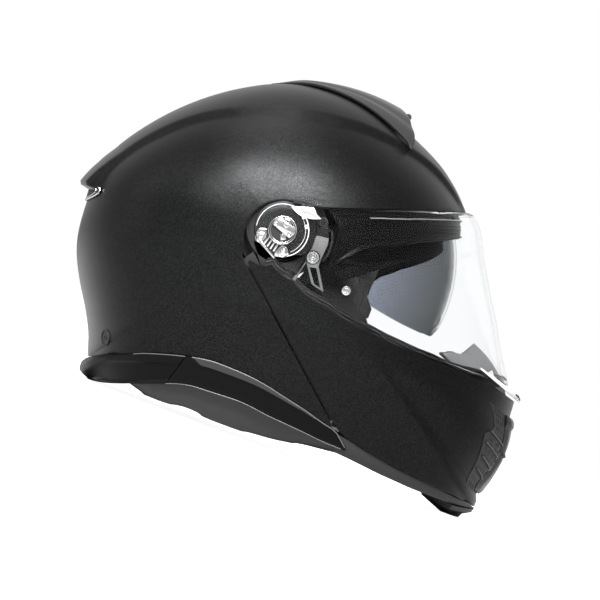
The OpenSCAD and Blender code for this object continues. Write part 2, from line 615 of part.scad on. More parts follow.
// The cover is open towards the front, where the hinge link shows
cover_open_share = 0.86;
module pivot_cover(name) {
    open_x = hinge_x + cover_r * cover_open_share;
    side(name) color(black) difference() {
        arm_blank(cover_r, cover_y, cover_t);
        translate([open_x, cover_y - cut, hinge_z - cover_r]) cube([cover_r, cover_t + 2 * cut, 2 * cover_r]);
        for (p = post_shares)
            rod(at(p)[0], at(p)[1], cover_y - cut, cover_y + cover_t + cut, post_r + seat_gap);
        for (p = ear_shares)
            rod(at(p)[0], at(p)[1], cover_y - cut, cover_y + cover_t + cut, screw_r * 0.7);
    }
}
base_y = cover_y + cover_t + 0.1;
ring_y = base_y + plate_t + seat_gap;
ring_t = 4;
module base_plate(name) {
    ear_r = screw_r + 1.8;
    side(name) color(silver) difference() {
        union() {
            rod(pivot_x, pivot_z, base_y, base_y + plate_t, hub_r + 2.4);
            for (p = ear_shares) rod(at(p)[0], at(p)[1], base_y, base_y + plate_t, ear_r);
            plate(rounded([at([-0.13, -0.08]), at([0.05, -0.165]), at([0.09, -0.10]), at([-0.07, 0.03])],
                ear_r * 0.6), base_y, base_y + plate_t);
            rod(pivot_x, pivot_z, base_y + plate_t - cut, ring_y + ring_t, hub_pin_r);
        }
        for (p = ear_shares) rod(at(p)[0], at(p)[1], base_y - cut, base_y + plate_t + cut, screw_r * 0.7);
    }
}
module base_screws() {
    color(silver) for (s = [0, 1]) mirror([0, s, 0]) for (p = ear_shares)
        rod(at(p)[0], at(p)[1], cover_y, base_y + plate_t, screw_r * 0.7 - bore_gap);
}
module visor_ring(name) {
    cap_t = 1.6;
    square_h = 1;
    side(name) {
        color(clear) difference() {
            rod(pivot_x, pivot_z, ring_y, ring_y + ring_t, ring_r);
            rod(pivot_x, pivot_z, ring_y - cut, ring_y + ring_t + cut, hub_pin_r + bore_gap);
        }
        color(silver) difference() {
            rod(pivot_x, pivot_z, ring_y + ring_t, ring_y + ring_t + cap_t, hub_r);
            translate([pivot_x - hub_square / 2, ring_y + ring_t + cap_t - square_h, pivot_z - hub_square / 2])
                cube([hub_square, square_h + cut, hub_square]);
        }
    }
}

// Visor
visor_close = [-13.8, 25.2];
visor_angles = [-78, -68, -58, -49, -42, -36, -31, -27, -23.5, -20.5, -18, -16, -14.6, -13.8, -11, -7, -2, 4, 10,
    16, 21, 24, 25.2, 26.2, 27.5, 29.5, 32, 36, 42, 50, 60, 68];
visor_cols = 7;
function visor_row(a) =
    let(r = shell_r * curve(visor_shares, a), n = 2.05, b = t_of(ring_r + seat_gap, r, n),
        edge = a > visor_close[1] ? shell_r * brow_share / sin(a - brow_angle)
            : a < visor_close[0] ? shell_r * look(visor_low_shares, a) : r)
    [a, spread(max(16, t_of(edge, r, n)), b, visor_cols)];
module visor() {
    rows = [for (a = visor_angles) visor_row(a)];
    color(clear) skin(grid(visor_face, rows), grid(visor_face, rows, visor_t),
        function(i, j) !over_middle(j, visor_cols) || (visor_angles[i] >= visor_close[0] && visor_angles[i + 1] <= visor_close[1]));
}
lens_pin_share = [0.533, -0.226];
module lens_pins() {
    p = at(lens_pin_share);
    rho = norm([p[0] - pivot_x, p[1] - pivot_z]);
    a = atan2(p[1] - pivot_z, p[0] - pivot_x);
    y = wide(rho + lens_pin_r, shell_r * curve(visor_shares, a), visor_w, 2.05) - visor_t * 1.2 - seat_gap;
    pin_l = 3;
    color(silver) for (s = [0, 1]) mirror([0, s, 0])
        rod(p[0], p[1], y - pin_l, y, lens_pin_r);
}
module lift_tab() {
    a = -12.6;
    tab_w = 24;
    tab_l = 6.2;
    rows = [for (b = [a - 0.4, a + 0.4]) [b, [for (i = [-3:3]) t_at(tab_w / 2, visor_w, 2.05) * i / 3]]];
    color(black) skin(grid(visor_face, rows, -tab_l), grid(visor_face, rows, -seat_gap));
}

// Sun visor, a surface of revolution about its pivot axis
sun_power = 2.4;
sun_full_w = sun_half_w * 1.0625;
function sun_low(t) = let(k = abs(t) / 75) -13 - 8 * k ^ 2 + 5 * max(0, 1 - (abs(t) / 14) ^ 2);
function sun_high(t) = 36 - 18 * (abs(t) / 75) ^ 3;
sun_face = function(s, t)
    let(o = oval(sun_r, sun_full_w, sun_power, t), a = mix(sun_low(t), sun_high(t), s / 100))
    [sun_x + o[0] * cos(a), o[1], sun_z + o[0] * sin(a)];
module sun_visor() {
    b = t_at(sun_half_w, sun_full_w, sun_power);
    ts = [for (i = [-9:9]) b * i / 9];
    rows = [for (s = [0, 15, 35, 60, 80, 100]) [s, ts]];
    color(smoke) skin(grid(sun_face, rows), grid(sun_face, rows, sun_t));
}
sun_arm_y = sun_half_w + 0.6;
module sun_arm(name) {
    arm_r = 7;
    arm_w = 2.4;
    pin_r = 3.5;
    reach_r = sun_r * 0.455;
    tip = [for (a = [-14, 10]) [sun_x + reach_r * cos(a), sun_z + reach_r * sin(a)]];
    side(name) color(black) difference() {
        union() {
            rod(sun_x, sun_z, sun_arm_y, sun_arm_y + arm_w, arm_r);
            plate([[sun_x, sun_z - arm_r], tip[0], tip[1], [sun_x, sun_z + arm_r]], sun_arm_y, sun_arm_y + arm_w);
        }
        rod(sun_x, sun_z, sun_arm_y - cut, sun_arm_y + arm_w + cut, pin_r + bore_gap);
    }
}
module sun_pivots() {
    pin_r = 3.5;
    flange_r = 6;
    color(silver) for (s = [0, 1]) mirror([0, s, 0]) {
        rod(sun_x, sun_z, sun_arm_y - 1.4, sun_arm_y + 2.8, pin_r);
        rod(sun_x, sun_z, sun_arm_y + 2.8, plate_y - seat_gap, flange_r);
    }
}

// Chin bar
chin_cols = 7;
chin_angles = [-117, -108, -99, -90, -82, -74, -67, -60, -54.5, -51, -47, -43, -39.5, -36.5, -34.6, -33.6, -32,
    -29.4, -27.2, -25, -22.7, -20.8, -18.9, -17.2, -15.7];
// The seam line leaves the pivot and meets the lower edge at the rear corner of the chin bar
function chin_outer(a) =
    a < -53.6 ? shell_r * seam_share / cos(a + 360 - seam_angle) - seam_gap : shell_r * look(chin_low_shares, a);
function chin_row(a) =
    let(r = shell_r * curve(chin_shares, a), n = look(chin_power, a))
    [a, spread(a > -33 ? 18 : a > -35 ? 12 : max(12, t_of(chin_outer(a), r, n)), t_of(shell_r * look(chin_top_shares, a), r, n),
        chin_cols)];
chin_vent_window = [-29.4, -22.7];
module chin_bar_shell() {
    rows = [for (a = chin_angles) chin_row(a)];
    color(paint) skin(grid(chin_face, rows), grid(chin_face, rows, chin_wall, chin_base),
        function(i, j) !over_middle(j, chin_cols) || (chin_angles[i] >= -34.7
            && !(chin_angles[i] >= chin_vent_window[0] && chin_angles[i + 1] <= chin_vent_window[1])));
}
chin_foam_cols = 4;
module chin_foam() {
    depth = chin_wall + 3 * seat_gap;
    foam_top = shell_r * 0.58;
    rows = [for (a = [-31.8, -29.6, -26, -22.5, -21])
        [a, spread(19, min(52, t_of(foam_top / sin(-a), shell_r * curve(chin_shares, a), look(chin_power, a))),
            chin_foam_cols)]];
    color(foam) skin(grid(chin_base, rows, depth), grid(chin_base, rows, depth + chin_foam),
        function(i, j) (i != 1 && i != 2) || !over_middle(j, chin_foam_cols));
}
// Forward reach of the chin bar's surface at half width y and depth z below the pivot
function reach(y, z, i = 0, x = undef) =
    let(g = is_undef(x) ? sqrt((2.2 * shell_r) ^ 2 - z ^ 2) : x, a = atan2(z, g), n = look(chin_power, a),
        rho = shell_r * curve(chin_shares, a) * (1 - (abs(y) / chin_w) ^ n) ^ (1 / n),
        nx = sqrt(max(1, rho ^ 2 - z ^ 2)))
    i == 5 ? nx : reach(y, z, i + 1, nx);
function chin_point(y, z, d) =
    let(x = reach(y, z), e = 0.5, dy = reach(abs(y) + e, z) - reach(max(0, abs(y) - e), z),
        nrm = unit([2 * e, sign(y) * -dy, 0])) [pivot_x + x, y, pivot_z + z] - d * nrm;
trim_high_shares = [[0, -1.292], [0.13, -1.286], [0.22, -1.270], [0.36, -1.268], [0.58, -1.243], [0.70, -1.216], [0.79, -1.174], [0.84, -1.134]];
trim_low_shares = [[0, -1.314], [0.36, -1.314], [0.58, -1.306], [0.70, -1.288], [0.84, -1.243]];
module chin_trim() {
    last = 0.80;
    us = [for (i = [-8:8]) sign(i) * last * (abs(i) / 8) ^ 0.85];
    function row(tab, d) = [for (u = us) chin_point(u * half_w, shell_r * look(tab, abs(u)), d)];
    color(black) skin([row(trim_low_shares, 0), row(trim_high_shares, 0)],
        [row(trim_low_shares, trim_wall), row(trim_high_shares, trim_wall)]);
}
module chin_spoiler() {
    us = [for (i = [-6:6]) i / 6];
    top_z = shell_r * trim_low_shares[0][1] - seat_gap;
    foot_z = -pivot_z;
    function back(u) = spoiler_depth * (1 - 0.35 * abs(u));
    function edge(u, z, inset) = let(p = chin_point(u * spoiler_half_w, z, 0)) p - [inset, 0, 0];
    lean = shell_r * 0.065;
    top_front = [for (u = us) edge(u, top_z, trim_wall * 0.4)];
    foot_front = [for (u = us) edge(u, top_z, lean) + [0, 0, foot_z - top_z]];
    foot_back = [for (u = us) edge(u, top_z, lean + back(u) * 0.5) + [0, 0, foot_z - top_z]];
    top_back = [for (u = us) edge(u, top_z, lean + back(u))];
    color(black) loft([top_front, foot_front, foot_back, top_back]);
}
// Closed solid of equal sections: each list is one line along it, in order round the section
module loft(lines) {
    m = len(lines);
    c = len(lines[0]);
    function id(i, j) = (i % m) * c + j;
    polyhedron([each for (l = lines) l], concat(
        [for (i = [0:m - 1], j = [0:c - 2]) each [[id(i, j), id(i, j + 1), id(i + 1, j + 1)],
            [id(i, j), id(i + 1, j + 1), id(i + 1, j)]]],
        [[for (i = [0:m - 1]) id(i, 0)], [for (i = [m - 1:-1:0]) id(i, c - 1)]]), convexity = 4);
}
// Seal on the chin bar's upper edge, under the visor
seal_high_shares = [[0, -0.455], [0.45, -0.455], [0.75, -0.440], [0.9, -0.400]];
module visor_seal() {
    last = 0.86;
    us = [for (i = [-9:9]) sign(i) * last * (abs(i) / 9) ^ 0.9];
    depth = chin_wall + 2.5 * seat_gap;
    seal_t = 2.2;
    seal_h = shell_r * 0.07;
    function line(d, h) = [for (u = us) chin_point(u * half_w, shell_r * look(seal_high_shares, abs(u)) - h, d)];
    color(rubber) loft([line(depth, seal_h), line(depth, 0), line(depth + seal_t, 0), line(depth + seal_t, seal_h)]);
}

// Chin vent
module chin_vent_frame() {
    rows = [for (a = [-31.4, -29.6, -26, -22.4, -20.6])
        [a, [for (i = [-4:4]) t_at(chin_vent_half_w * mix(0.62, 1, (a + 31.4) / 10.8), chin_w, 2.05) * i / 4]]];
    color(black) skin(grid(chin_base, rows, -chin_vent_rise), grid(chin_base, rows, -2 * seat_gap),
        function(i, j) !((i == 1 || i == 2) && j > 0 && j < 7));
}
module chin_vent_mesh() {
    rows = [for (a = [chin_vent_window[0] + 0.4, -27.2, -25, chin_vent_window[1] - 0.4])
        [a, [for (i = [-5:5]) 16.6 * i / 5]]];
    color(black) skin(grid(chin_base, rows), grid(chin_base, rows, chin_wall * 0.3));
}
module chin_vent_slider() {
    p = chin_point(0, shell_r * -0.900, -chin_vent_rise * 0.7);
    knob_r = 4;
    knob_w = 18;
    color(rubber) translate(p) scale([0.35, 1, 1])
        hull() for (y = [-1, 1]) translate([0, y * (knob_w / 2 - knob_r), 0]) sphere(r = knob_r, $fn = 16);
}

// Breath deflector and chin curtain
module breath_deflector() {
    base_z = shell_r * -0.56;
    wall_t = 2;
    depth = chin_wall + 2 * seat_gap;
    us = [for (i = [-6:6]) i / 6];
    deflector_half_w = 48;
    function line(k, d) = [for (u = us)
        let(p = chin_point(u * deflector_half_w, base_z, depth + d))
        p + [-k * shell_r * 0.36 * (1 - 0.3 * abs(u)), 0, k * shell_r * (0.305 - 0.17 * abs(u) ^ 1.5)]];
    color(rubber) loft([line(0, 0), line(1, 0), line(1, wall_t), line(0, wall_t)]);
}
module chin_curtain() {
    wall_t = 1.6;
    us = [for (i = [-7:7]) i / 7];
    curtain_half_w = 70;
    depth = chin_wall + 5 * seat_gap;
    function line(k, d) = [for (u = us)
        chin_point(u * curtain_half_w, shell_r * mix(-1.20, -1.25, k), depth + d + k * shell_r * 0.25)];
    color(cloth) loft([line(0, 0), line(0, wall_t), line(1, wall_t), line(1, 0)]);
}

// Latch: hooks on the chin bar catch the strikers beside the cheek foam
latch_shares = [0.73, -0.93];
striker_shares = [0.79, -1.06];
latch_pin_r = 3;
hook_y = cheek_foam_out + 3.2;
hook_t = 2.4;
module latch_hooks() {
    c = at(latch_shares);
    s = at(striker_shares);
    r = latch_pin_r;
    back = s[0] - r - run_gap;
    low = s[1] - r - run_gap;
    color(silver) for (k = [0, 1]) mirror([0, k, 0]) difference() {
        union() {
            rod(c[0], c[1], hook_y, hook_y + hook_t, r * 2);
            plate([[c[0] - r * 1.2, c[1]], [c[0] - r * 1.2, low - r * 0.3], [c[0], low - r * 1.2],
                [s[0] + r * 0.8, low - r * 1.1], [s[0] + r, low], [back, low], [back, c[1] - r * 2],
                [c[0] + r * 1.2, c[1]]], hook_y, hook_y + hook_t);
        }
        rod(c[0], c[1], hook_y - cut, hook_y + hook_t + cut, r + bore_gap);
    }
}
module latch_axles() {
    c = at(latch_shares);
    rho = shell_r * norm(latch_shares);
    a = atan2(latch_shares[1], latch_shares[0]);
    wall_y = wide(rho, shell_r * curve(chin_shares, a), chin_w, look(chin_power, a)) - chin_wall * 1.35 - run_gap;
    color(silver) for (k = [0, 1]) mirror([0, k, 0]) {
        rod(c[0], c[1], hook_y - 0.8, hook_y + hook_t + seat_gap, latch_pin_r);
        rod(c[0], c[1], hook_y + hook_t + seat_gap, wall_y, latch_pin_r * 1.8);
    }
}
module latch_strikers() {
    s = at(striker_shares);
    color(silver) for (k = [0, 1]) mirror([0, k, 0])
        rod(s[0], s[1], cheek_foam_out + seat_gap, hook_y + hook_t, latch_pin_r);
}
module release_lever() {
    z = shell_r * -1.278;
    p = chin_point(0, z, chin_wall + 12);
    lever_w = 26;
    lever_r = 3.4;
    color(black) translate(p) hull() for (y = [-1, 1])
        translate([0, y * (lever_w / 2 - lever_r), 0]) sphere(r = lever_r, $fn = 16);
}

// Sun visor slider, in its track inside the left side trim
track_shares = [-0.02, -1.10];
track_y = cheek_foam_out + seat_gap;
track_l = 44;
track_h = 9;
track_t = 2;
module sun_track() {
    c = at(track_shares);
    lip = 1.6;
    color(black) difference() {
        translate([c[0] - track_l / 2, track_y, c[1] - track_h / 2]) cube([track_l, track_t, track_h]);
        translate([c[0] - track_l / 2 + lip, track_y - cut, c[1] - track_h / 2 + lip])
            cube([track_l - 2 * lip, track_t + 2 * cut, track_h - 2 * lip]);
    }
}
module sun_slider() {
    c = at(track_shares);
    knob_l = 16;
    knob_t = 2.6;
    stem_l = 8;
    stem_h = track_h - 5.2;
    x = c[0] + track_l / 2 - knob_l / 2 - 3;
    color(rubber) {
        translate([x - stem_l / 2, track_y, c[1] - stem_h / 2]) cube([stem_l, track_t + seat_gap + cut, stem_h]);
        difference() {
            translate([x - knob_l / 2, track_y + track_t + seat_gap, c[1] - track_h * 0.4])
                cube([knob_l, knob_t, track_h * 0.8]);
            for (i = [-1:1]) translate([x + i * 4 - 0.8, track_y + track_t + knob_t - 0.6, c[1] - track_h])
                cube([1.6, knob_t, 2 * track_h]);
        }
    }
}

// Hinge link beside the visor ring, in front of the cover
module hinge_link(name) {
    link_t = 1.2;
    link_y = cover_y + cover_t - link_t - seat_gap;
    screw = at([0.251, -0.097]);
    side(name) color(silver) difference() {
        union() {
            plate([for (p = [[0.218, 0.045], [0.303, 0.059], [0.325, -0.03], [0.300, -0.110], [0.390, -0.276],
                [0.325, -0.262], [0.235, -0.135], [0.204, -0.097]]) at(p)], link_y, link_y + link_t);
            rod(screw[0], screw[1], link_y, link_y + link_t + 1, screw_r * 1.5);
        }
        rod(screw[0], screw[1], link_y + link_t, link_y + link_t + 1 + cut, screw_r * 0.6);
    }
}

// Chin strap: a band in the plane across the helmet, hung from the two anchors
strap_x_share = 0.05;
strap_shares = [[1.34, -0.13], [1.13, -0.26], [1.025, -0.42], [0.965, -0.62], [0.955, -0.85], [0.93, -1.02],
    [0.76, -1.15]];
strap_low = pivot_z - shell_r * 1.20;
function band_line(pts, d) =
    [for (i = [0:len(pts) - 1])
        let(u = unit(pts[min(i + 1, len(pts) - 1)] - pts[max(i - 1, 0)])) pts[i] + d * [-u[1], u[0]]];
module strap_run(pts) {
    line = concat(band_line(pts, strap_t / 2), [for (i = [len(pts) - 1:-1:0]) band_line(pts, -strap_t / 2)[i]]);
    x = pivot_x + shell_r * strap_x_share;
    translate([x - strap_w / 2, 0, 0]) rotate([90, 0, 90]) linear_extrude(strap_w) polygon(line);
}
function strap_side(sgn) =
    [for (p = concat([for (q = strap_shares) [cheek_gap_half_w * q[0], pivot_z + shell_r * q[1]]],
        [[buckle_l / 2 + 6, strap_low]])) [sgn * p[0], p[1]]];
module strap(name) {
    color(black) strap_run(strap_side(name == "right" ? -1 : 1));
}
module strap_anchors() {
    x = pivot_x + shell_r * strap_x_share;
    rivet_r = 4;
    color(silver) for (s = [0, 1]) mirror([0, s, 0])
        rod(x, pivot_z + shell_r * strap_shares[0][1], cheek_gap_half_w * strap_shares[0][0] + strap_t,
            plate_y - seat_gap, rivet_r);
}
lever_pin_y = -buckle_l / 2 + 4;
lever_pin_r = 1.6;
buckle_wall = 2;
module buckle_body() {
    x = pivot_x + shell_r * strap_x_share;
    body_h = 7;
    body_w = strap_w + 2 * buckle_wall;
    bar_w = 5.6;
    color(black) difference() {
        translate([x - body_w / 2, -buckle_l / 2 - bar_w, strap_low - body_h / 2])
            cube([body_w, buckle_l + 2 * bar_w, body_h]);
        translate([x - strap_w / 2, -buckle_l / 2, strap_low - body_h / 2 - cut])
            cube([strap_w, buckle_l, body_h + 2 * cut]);
        translate([x, lever_pin_y, strap_low]) rotate([0, 90, 0])
            cylinder(r = lever_pin_r + bore_gap, h = body_w + 2 * cut, center = true);
    }
}
module buckle_lever() {
    x = pivot_x + shell_r * strap_x_share;
    lever_t = 3;
    color(rubber) translate([x, 0, strap_low]) {
        translate([0, lever_pin_y, 0]) rotate([0, 90, 0])
            cylinder(r = lever_pin_r, h = strap_w + 2 * buckle_wall, center = true);
        translate([-strap_w / 2 + run_gap, lever_pin_y, -lever_t / 2])
            cube([strap_w - 2 * run_gap, buckle_l - 4 - 2 * run_gap, lever_t]);
    }
}

outer_shell();
crown_foam();
brow_foam();
crown_pad();
neck_roll();
rear_lower_trim();
brow_seal();
exhaust_grille();
top_vent_cover();
top_vent_slider();
boss_screws();
chin_bar_shell();
chin_foam();
chin_trim();
chin_spoiler();
visor_seal();
base_screws();
chin_vent_frame();
chin_vent_mesh();
chin_vent_slider();
breath_deflector();
chin_curtain();
release_lever();
latch_hooks();
latch_axles();
latch_strikers();
visor();
lens_pins();
lift_tab();
sun_visor();
sun_pivots();
sun_slider();
sun_track();
strap_anchors();
buckle_body();
buckle_lever();
for (s = SIDES) {
    cheek_foam(s);
    cheek_pad(s);
    side_trim(s);
    port_plug(s);
    side_plate(s);
    pivot_arm(s);
    pivot_cover(s);
    base_plate(s);
    hinge_link(s);
    visor_ring(s);
    sun_arm(s);
    strap(s);
}
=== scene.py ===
"""Modular motorcycle helmet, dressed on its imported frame"""

import json
import math

import bmesh
import bpy
from mathutils import Matrix, Vector

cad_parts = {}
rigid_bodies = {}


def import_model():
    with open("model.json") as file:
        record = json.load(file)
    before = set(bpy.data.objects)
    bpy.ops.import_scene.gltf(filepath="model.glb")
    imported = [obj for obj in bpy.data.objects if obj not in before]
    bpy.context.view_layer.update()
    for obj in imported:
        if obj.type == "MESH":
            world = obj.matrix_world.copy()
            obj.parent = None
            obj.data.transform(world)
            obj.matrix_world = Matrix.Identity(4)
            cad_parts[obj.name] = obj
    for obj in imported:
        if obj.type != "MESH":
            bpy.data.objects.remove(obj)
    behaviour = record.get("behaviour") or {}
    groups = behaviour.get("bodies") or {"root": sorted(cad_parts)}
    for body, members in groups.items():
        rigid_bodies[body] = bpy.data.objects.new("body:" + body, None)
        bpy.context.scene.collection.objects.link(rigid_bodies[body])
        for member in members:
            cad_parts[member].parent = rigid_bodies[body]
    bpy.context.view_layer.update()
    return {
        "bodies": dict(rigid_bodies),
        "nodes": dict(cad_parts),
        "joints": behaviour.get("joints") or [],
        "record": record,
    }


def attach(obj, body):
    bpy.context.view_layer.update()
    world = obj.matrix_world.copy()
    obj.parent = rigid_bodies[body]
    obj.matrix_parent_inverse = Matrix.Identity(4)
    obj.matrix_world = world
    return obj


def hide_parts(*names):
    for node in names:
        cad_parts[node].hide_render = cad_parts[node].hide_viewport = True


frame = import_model()
nodes = frame["nodes"]

# Sizes, in metres, as in the part's source
R = 0.108
HALF_W = 0.122
SHELL_WALL = 0.004
BAND_RISE = 0.004
BAND_FALL = 0.009
CREASE_RISE = 0.0025
CREASE_REACH = 0.034
CHIN_PROUD = 0.0025
CHIN_W = HALF_W + CHIN_PROUD
CHIN_WALL = 0.0032
VISOR_W = HALF_W + 0.0048
VISOR_T = 0.0022
TRIM_WALL = 0.003
RECESS_R = 0.031
RING_R = 0.019
SEAT = 0.0004
PIVOT_X = -R * 0.2628
PIVOT_Z = R * 1.3935
HINGE_X = PIVOT_X - R * 0.013
HINGE_Z = PIVOT_Z + R * 0.015
SUN_X = PIVOT_X + R * 0.251
SUN_Z = PIVOT_Z - R * 0.097
VISOR_POWER = 2.05
SUN_POWER = 2.4
SEAM_ANGLE = 228.9
SEAM_SHARE = 0.306
COVER_Y = HALF_W - 0.0046
BASE_Y = COVER_Y + 0.0025
RING_Y = BASE_Y + 0.002
RING_T = 0.004
SUN_R = R * 0.974
SUN_W = 0.080
SUN_OVAL_W = SUN_W * 1.0625
CHEEK_IN = 0.072
CHEEK_GAP = 0.056
PAD_GAP = 0.0031
SOCKET_X, SOCKET_Z, SOCKET_R = 0.0014, -0.0057, 0.027
LIP_T = 0.0012
GROOVE = 0.0017
BROW_ANGLE = 19.35
BROW_SHARE = 0.151

# Side view in polar form about the visor pivot: angle in degrees and share of R
SHELL_SHARES = [(26, 1.231), (34, 1.176), (42, 1.126), (54, 1.061), (66, 1.020), (78, 0.993), (90, 0.974),
    (102, 0.966), (114, 0.965), (126, 0.973), (138, 1.001), (150, 1.051), (162, 1.126), (174, 1.231),
    (180, 1.287), (186, 1.325), (192, 1.342), (204, 1.395), (216, 1.415), (222, 1.433), (228, 1.481),
    (233, 1.560), (240, 1.650), (250, 1.759), (270, 1.898), (290, 2.083), (306, 2.204)]
RISE_SHARES = [(26, 0.4), (34, 0.8), (42, 1), (162, 1), (174, 0.9), (180, 1.3), (186.4, 2.3), (187.4, 1.9),
    (188.4, 0), (306, 0)]
BAND_SHARES = [(26, 0.13), (34, 0.20), (41, 0.27), (53, 0.40), (64, 0.50), (82, 0.60), (102, 0.64),
    (131, 0.60), (155, 0.51), (178, 0.42), (186, 0.38), (306, 0.38)]
BELLY_SHARES = [(26, 0), (110, 0), (150, 0.4), (200, 0.8), (306, 0.8)]
SHELL_POWER = [(26, 2.05), (100, 2.1), (150, 2.3), (306, 2.35)]
HEM_SHARES = [(233.2, 1.575), (233.7, 1.530), (235.8, 1.431), (242.7, 1.211), (253.5, 1.043), (265.1, 0.973),
    (281.7, 1.006), (296.2, 1.169), (305.5, 1.370)]
CHIN_SHARES = [(-119, 1.657), (-110, 1.759), (-90, 1.898), (-70, 2.083), (-54, 2.204), (-44, 2.250),
    (-38, 2.264), (-34.2, 2.258), (-33, 2.200), (-29.7, 2.160), (-26, 2.115), (-22.5, 2.056), (-19.2, 1.987),
    (-15.7, 1.938)]
CHIN_POWER = [(-119, 2.35), (-60, 2.35), (-36, 2.1), (-15.7, 2.05)]
CHIN_TOP_SHARES = [(-119, 0.293), (-98, 0.270), (-87, 0.235), (-58, 0.338), (-37.5, 0.613), (-31.4, 0.790),
    (-26.7, 0.967), (-21.3, 1.244), (-18, 1.506), (-15.7, 1.770)]
CHIN_LOW_SHARES = [(-53.4, 1.399), (-49.5, 1.531), (-44.7, 1.715), (-40.3, 1.904), (-35.9, 2.139), (-34.6, 2.262)]
VISOR_SHARES = [(-80, 1.990), (-40, 2.050), (-20, 1.950), (-13.8, 1.843), (-10.6, 1.747), (-7.1, 1.656),
    (2.1, 1.490), (5.9, 1.440), (13.2, 1.370), (21.8, 1.331), (25.2, 1.296), (34, 1.230), (45, 1.200),
    (70, 1.185)]
VISOR_LOW_SHARES = [(-83.4, 0.195), (-56, 0.319), (-35, 0.574), (-30, 0.778), (-23.6, 1.047), (-19.2, 1.310),
    (-17, 1.484), (-14.2, 1.753), (-13.8, 1.843)]
TRIM_SHARES = [(233, 1.608), (234.6, 1.658), (238, 1.651), (244, 1.730), (250, 1.800), (270, 1.930),
    (290, 2.090), (306, 2.204)]
RIM_SHARES = [(237.6, 1.648), (239.8, 1.595), (248, 1.378), (255.6, 1.238), (262.3, 1.182), (276.2, 1.166),
    (286.5, 1.233), (295.6, 1.330), (303.2, 1.455), (306.6, 1.519)]
FOAM_IN_SHARES = [(26, 0.850), (45, 0.765), (65, 0.705), (90, 0.672), (115, 0.680), (140, 0.740),
    (165, 0.835), (190, 0.940), (210, 0.985), (228, 1.010), (262, 1.300)]
POCKET_SHARES = [(26, 0.110), (35, 0.070), (45, 0.060), (55, 0.050), (68, 0.050), (74, 0), (262, 0)]
FOAM_WIDE_SHARES = [(26, 0.72), (70, 0.72), (78, 1), (262, 1)]
FOAM_IN_WIDE_SHARES = [(26, 0.865), (70, 0.865), (80, 1), (262, 1)]
CHEEK_REACH_SHARES = [(0, 0.58), (40, 0.60), (75, 0.52), (110, 0.56), (150, 0.60), (180, 0.56), (215, 0.62),
    (250, 0.555), (270, 0.545), (290, 0.56), (325, 0.66), (360, 0.58)]
TRIM_HIGH_SHARES = [(0, -1.292), (0.13, -1.286), (0.22, -1.270), (0.36, -1.268), (0.58, -1.243), (0.70, -1.216),
    (0.79, -1.174), (0.84, -1.134)]
TRIM_LOW_SHARES = [(0, -1.314), (0.36, -1.314), (0.58, -1.306), (0.70, -1.288), (0.84, -1.243)]


def span(table, a):
    """The entry of a table that angle a falls after, and a held inside the table"""
    a = max(table[0][0], min(table[-1][0], a))
    i = max(k for k in range(len(table) - 1) if k == 0 or table[k][0] <= a)
    return i, a


def look(table, a):
    i, a = span(table, a)
    (x0, y0), (x1, y1) = table[i], table[i + 1]
    return y0 + (y1 - y0) * (a - x0) / (x1 - x0)


def curve(table, a):
    i, a = span(table, a)
    (x0, y0), (x1, y1) = table[i], table[i + 1]
    before, after = table[max(i - 1, 0)], table[min(i + 2, len(table) - 1)]
    d = x1 - x0
    u = (a - x0) / d
    m = (y1 - before[1]) / (x1 - before[0]) * d
    k = (after[1] - y0) / (after[0] - x0) * d
    return (y0 * (2 * u**3 - 3 * u**2 + 1) + m * (u**3 - 2 * u**2 + u)
        + y1 * (3 * u**2 - 2 * u**3) + k * (u**3 - u**2))


def ease(u):
    u = max(0.0, min(1.0, u))
    return u * u * (3 - 2 * u)


def mix(a, b, u):
    return a + (b - a) * u


def sine(a):
    return math.sin(math.radians(a))


def cosine(a):
    return math.cos(math.radians(a))


def oval(r, w, n, t):
    """A point of an oval section: t is 0 on the middle line and 90 at the pivot axis"""
    side = math.copysign(1.0, t)
    return r * abs(cosine(t)) ** (2 / n), side * w * abs(sine(t)) ** (2 / n)


def place(rho, y, a):
    return Vector((PIVOT_X + rho * cosine(a), y, PIVOT_Z + rho * sine(a)))


def t_of(rho, r, n):
    """The t at which a section has radius rho"""
    return math.degrees(math.acos(max(0.0, min(1.0, (rho / r) ** (n / 2)))))


def t_at(y, w, n):
    """The t at which a section has half width y"""
    return math.degrees(math.asin(min(1.0, (y / w) ** (n / 2))))


def wide(rho, r, w, n):
    return w * max(0.0, 1 - (rho / r) ** n) ** (1 / n)


def at(p):
    """A point of the side view, in shares of R from the visor pivot"""
    return PIVOT_X + R * p[0], PIVOT_Z + R * p[1]


def hem_reach(a):
    """Share of R from the pivot to the shell's lower edge"""
    return curve(HEM_SHARES, a) if a > 236 else look(HEM_SHARES, a)


def shell_width(a):
    return HALF_W + CHIN_PROUD * look(BELLY_SHARES, a)


def crease(p):
    """The belt line along the widest part of the shell and chin bar"""
    line = PIVOT_Z - R * 0.53 - abs(p.x - PIVOT_X) * 0.07
    return CREASE_RISE * max(0.0, 1 - abs(p.z - line) / CREASE_REACH) ** 2 * (p.y / HALF_W) ** 2


def band_rise(a, y):
    """Height of the crown band above the shell's oval"""
    return BAND_RISE * look(RISE_SHARES, a) * ease((HALF_W * look(BAND_SHARES, a) - abs(y)) / BAND_FALL + 0.5)


def shell_oval(a):
    """Radius and power of the shell's section at an angle"""
    return R * curve(SHELL_SHARES, a), look(SHELL_POWER, a)


def trim_oval(a):
    return R * curve(TRIM_SHARES, a), look(SHELL_POWER, a)


def chin_oval(a):
    return R * curve(CHIN_SHARES, a), look(CHIN_POWER, a)


def shell_base(a, t):
    r, n = shell_oval(a)
    return place(*oval(r, shell_width(a), n, t), a)


def shell_face(a, t):
    r, n = shell_oval(a)
    rho, y = oval(r, shell_width(a), n, t)
    p = place(rho * (1 + band_rise(a, y) / r), y, a)
    p.y += math.copysign(crease(p), t)
    return p


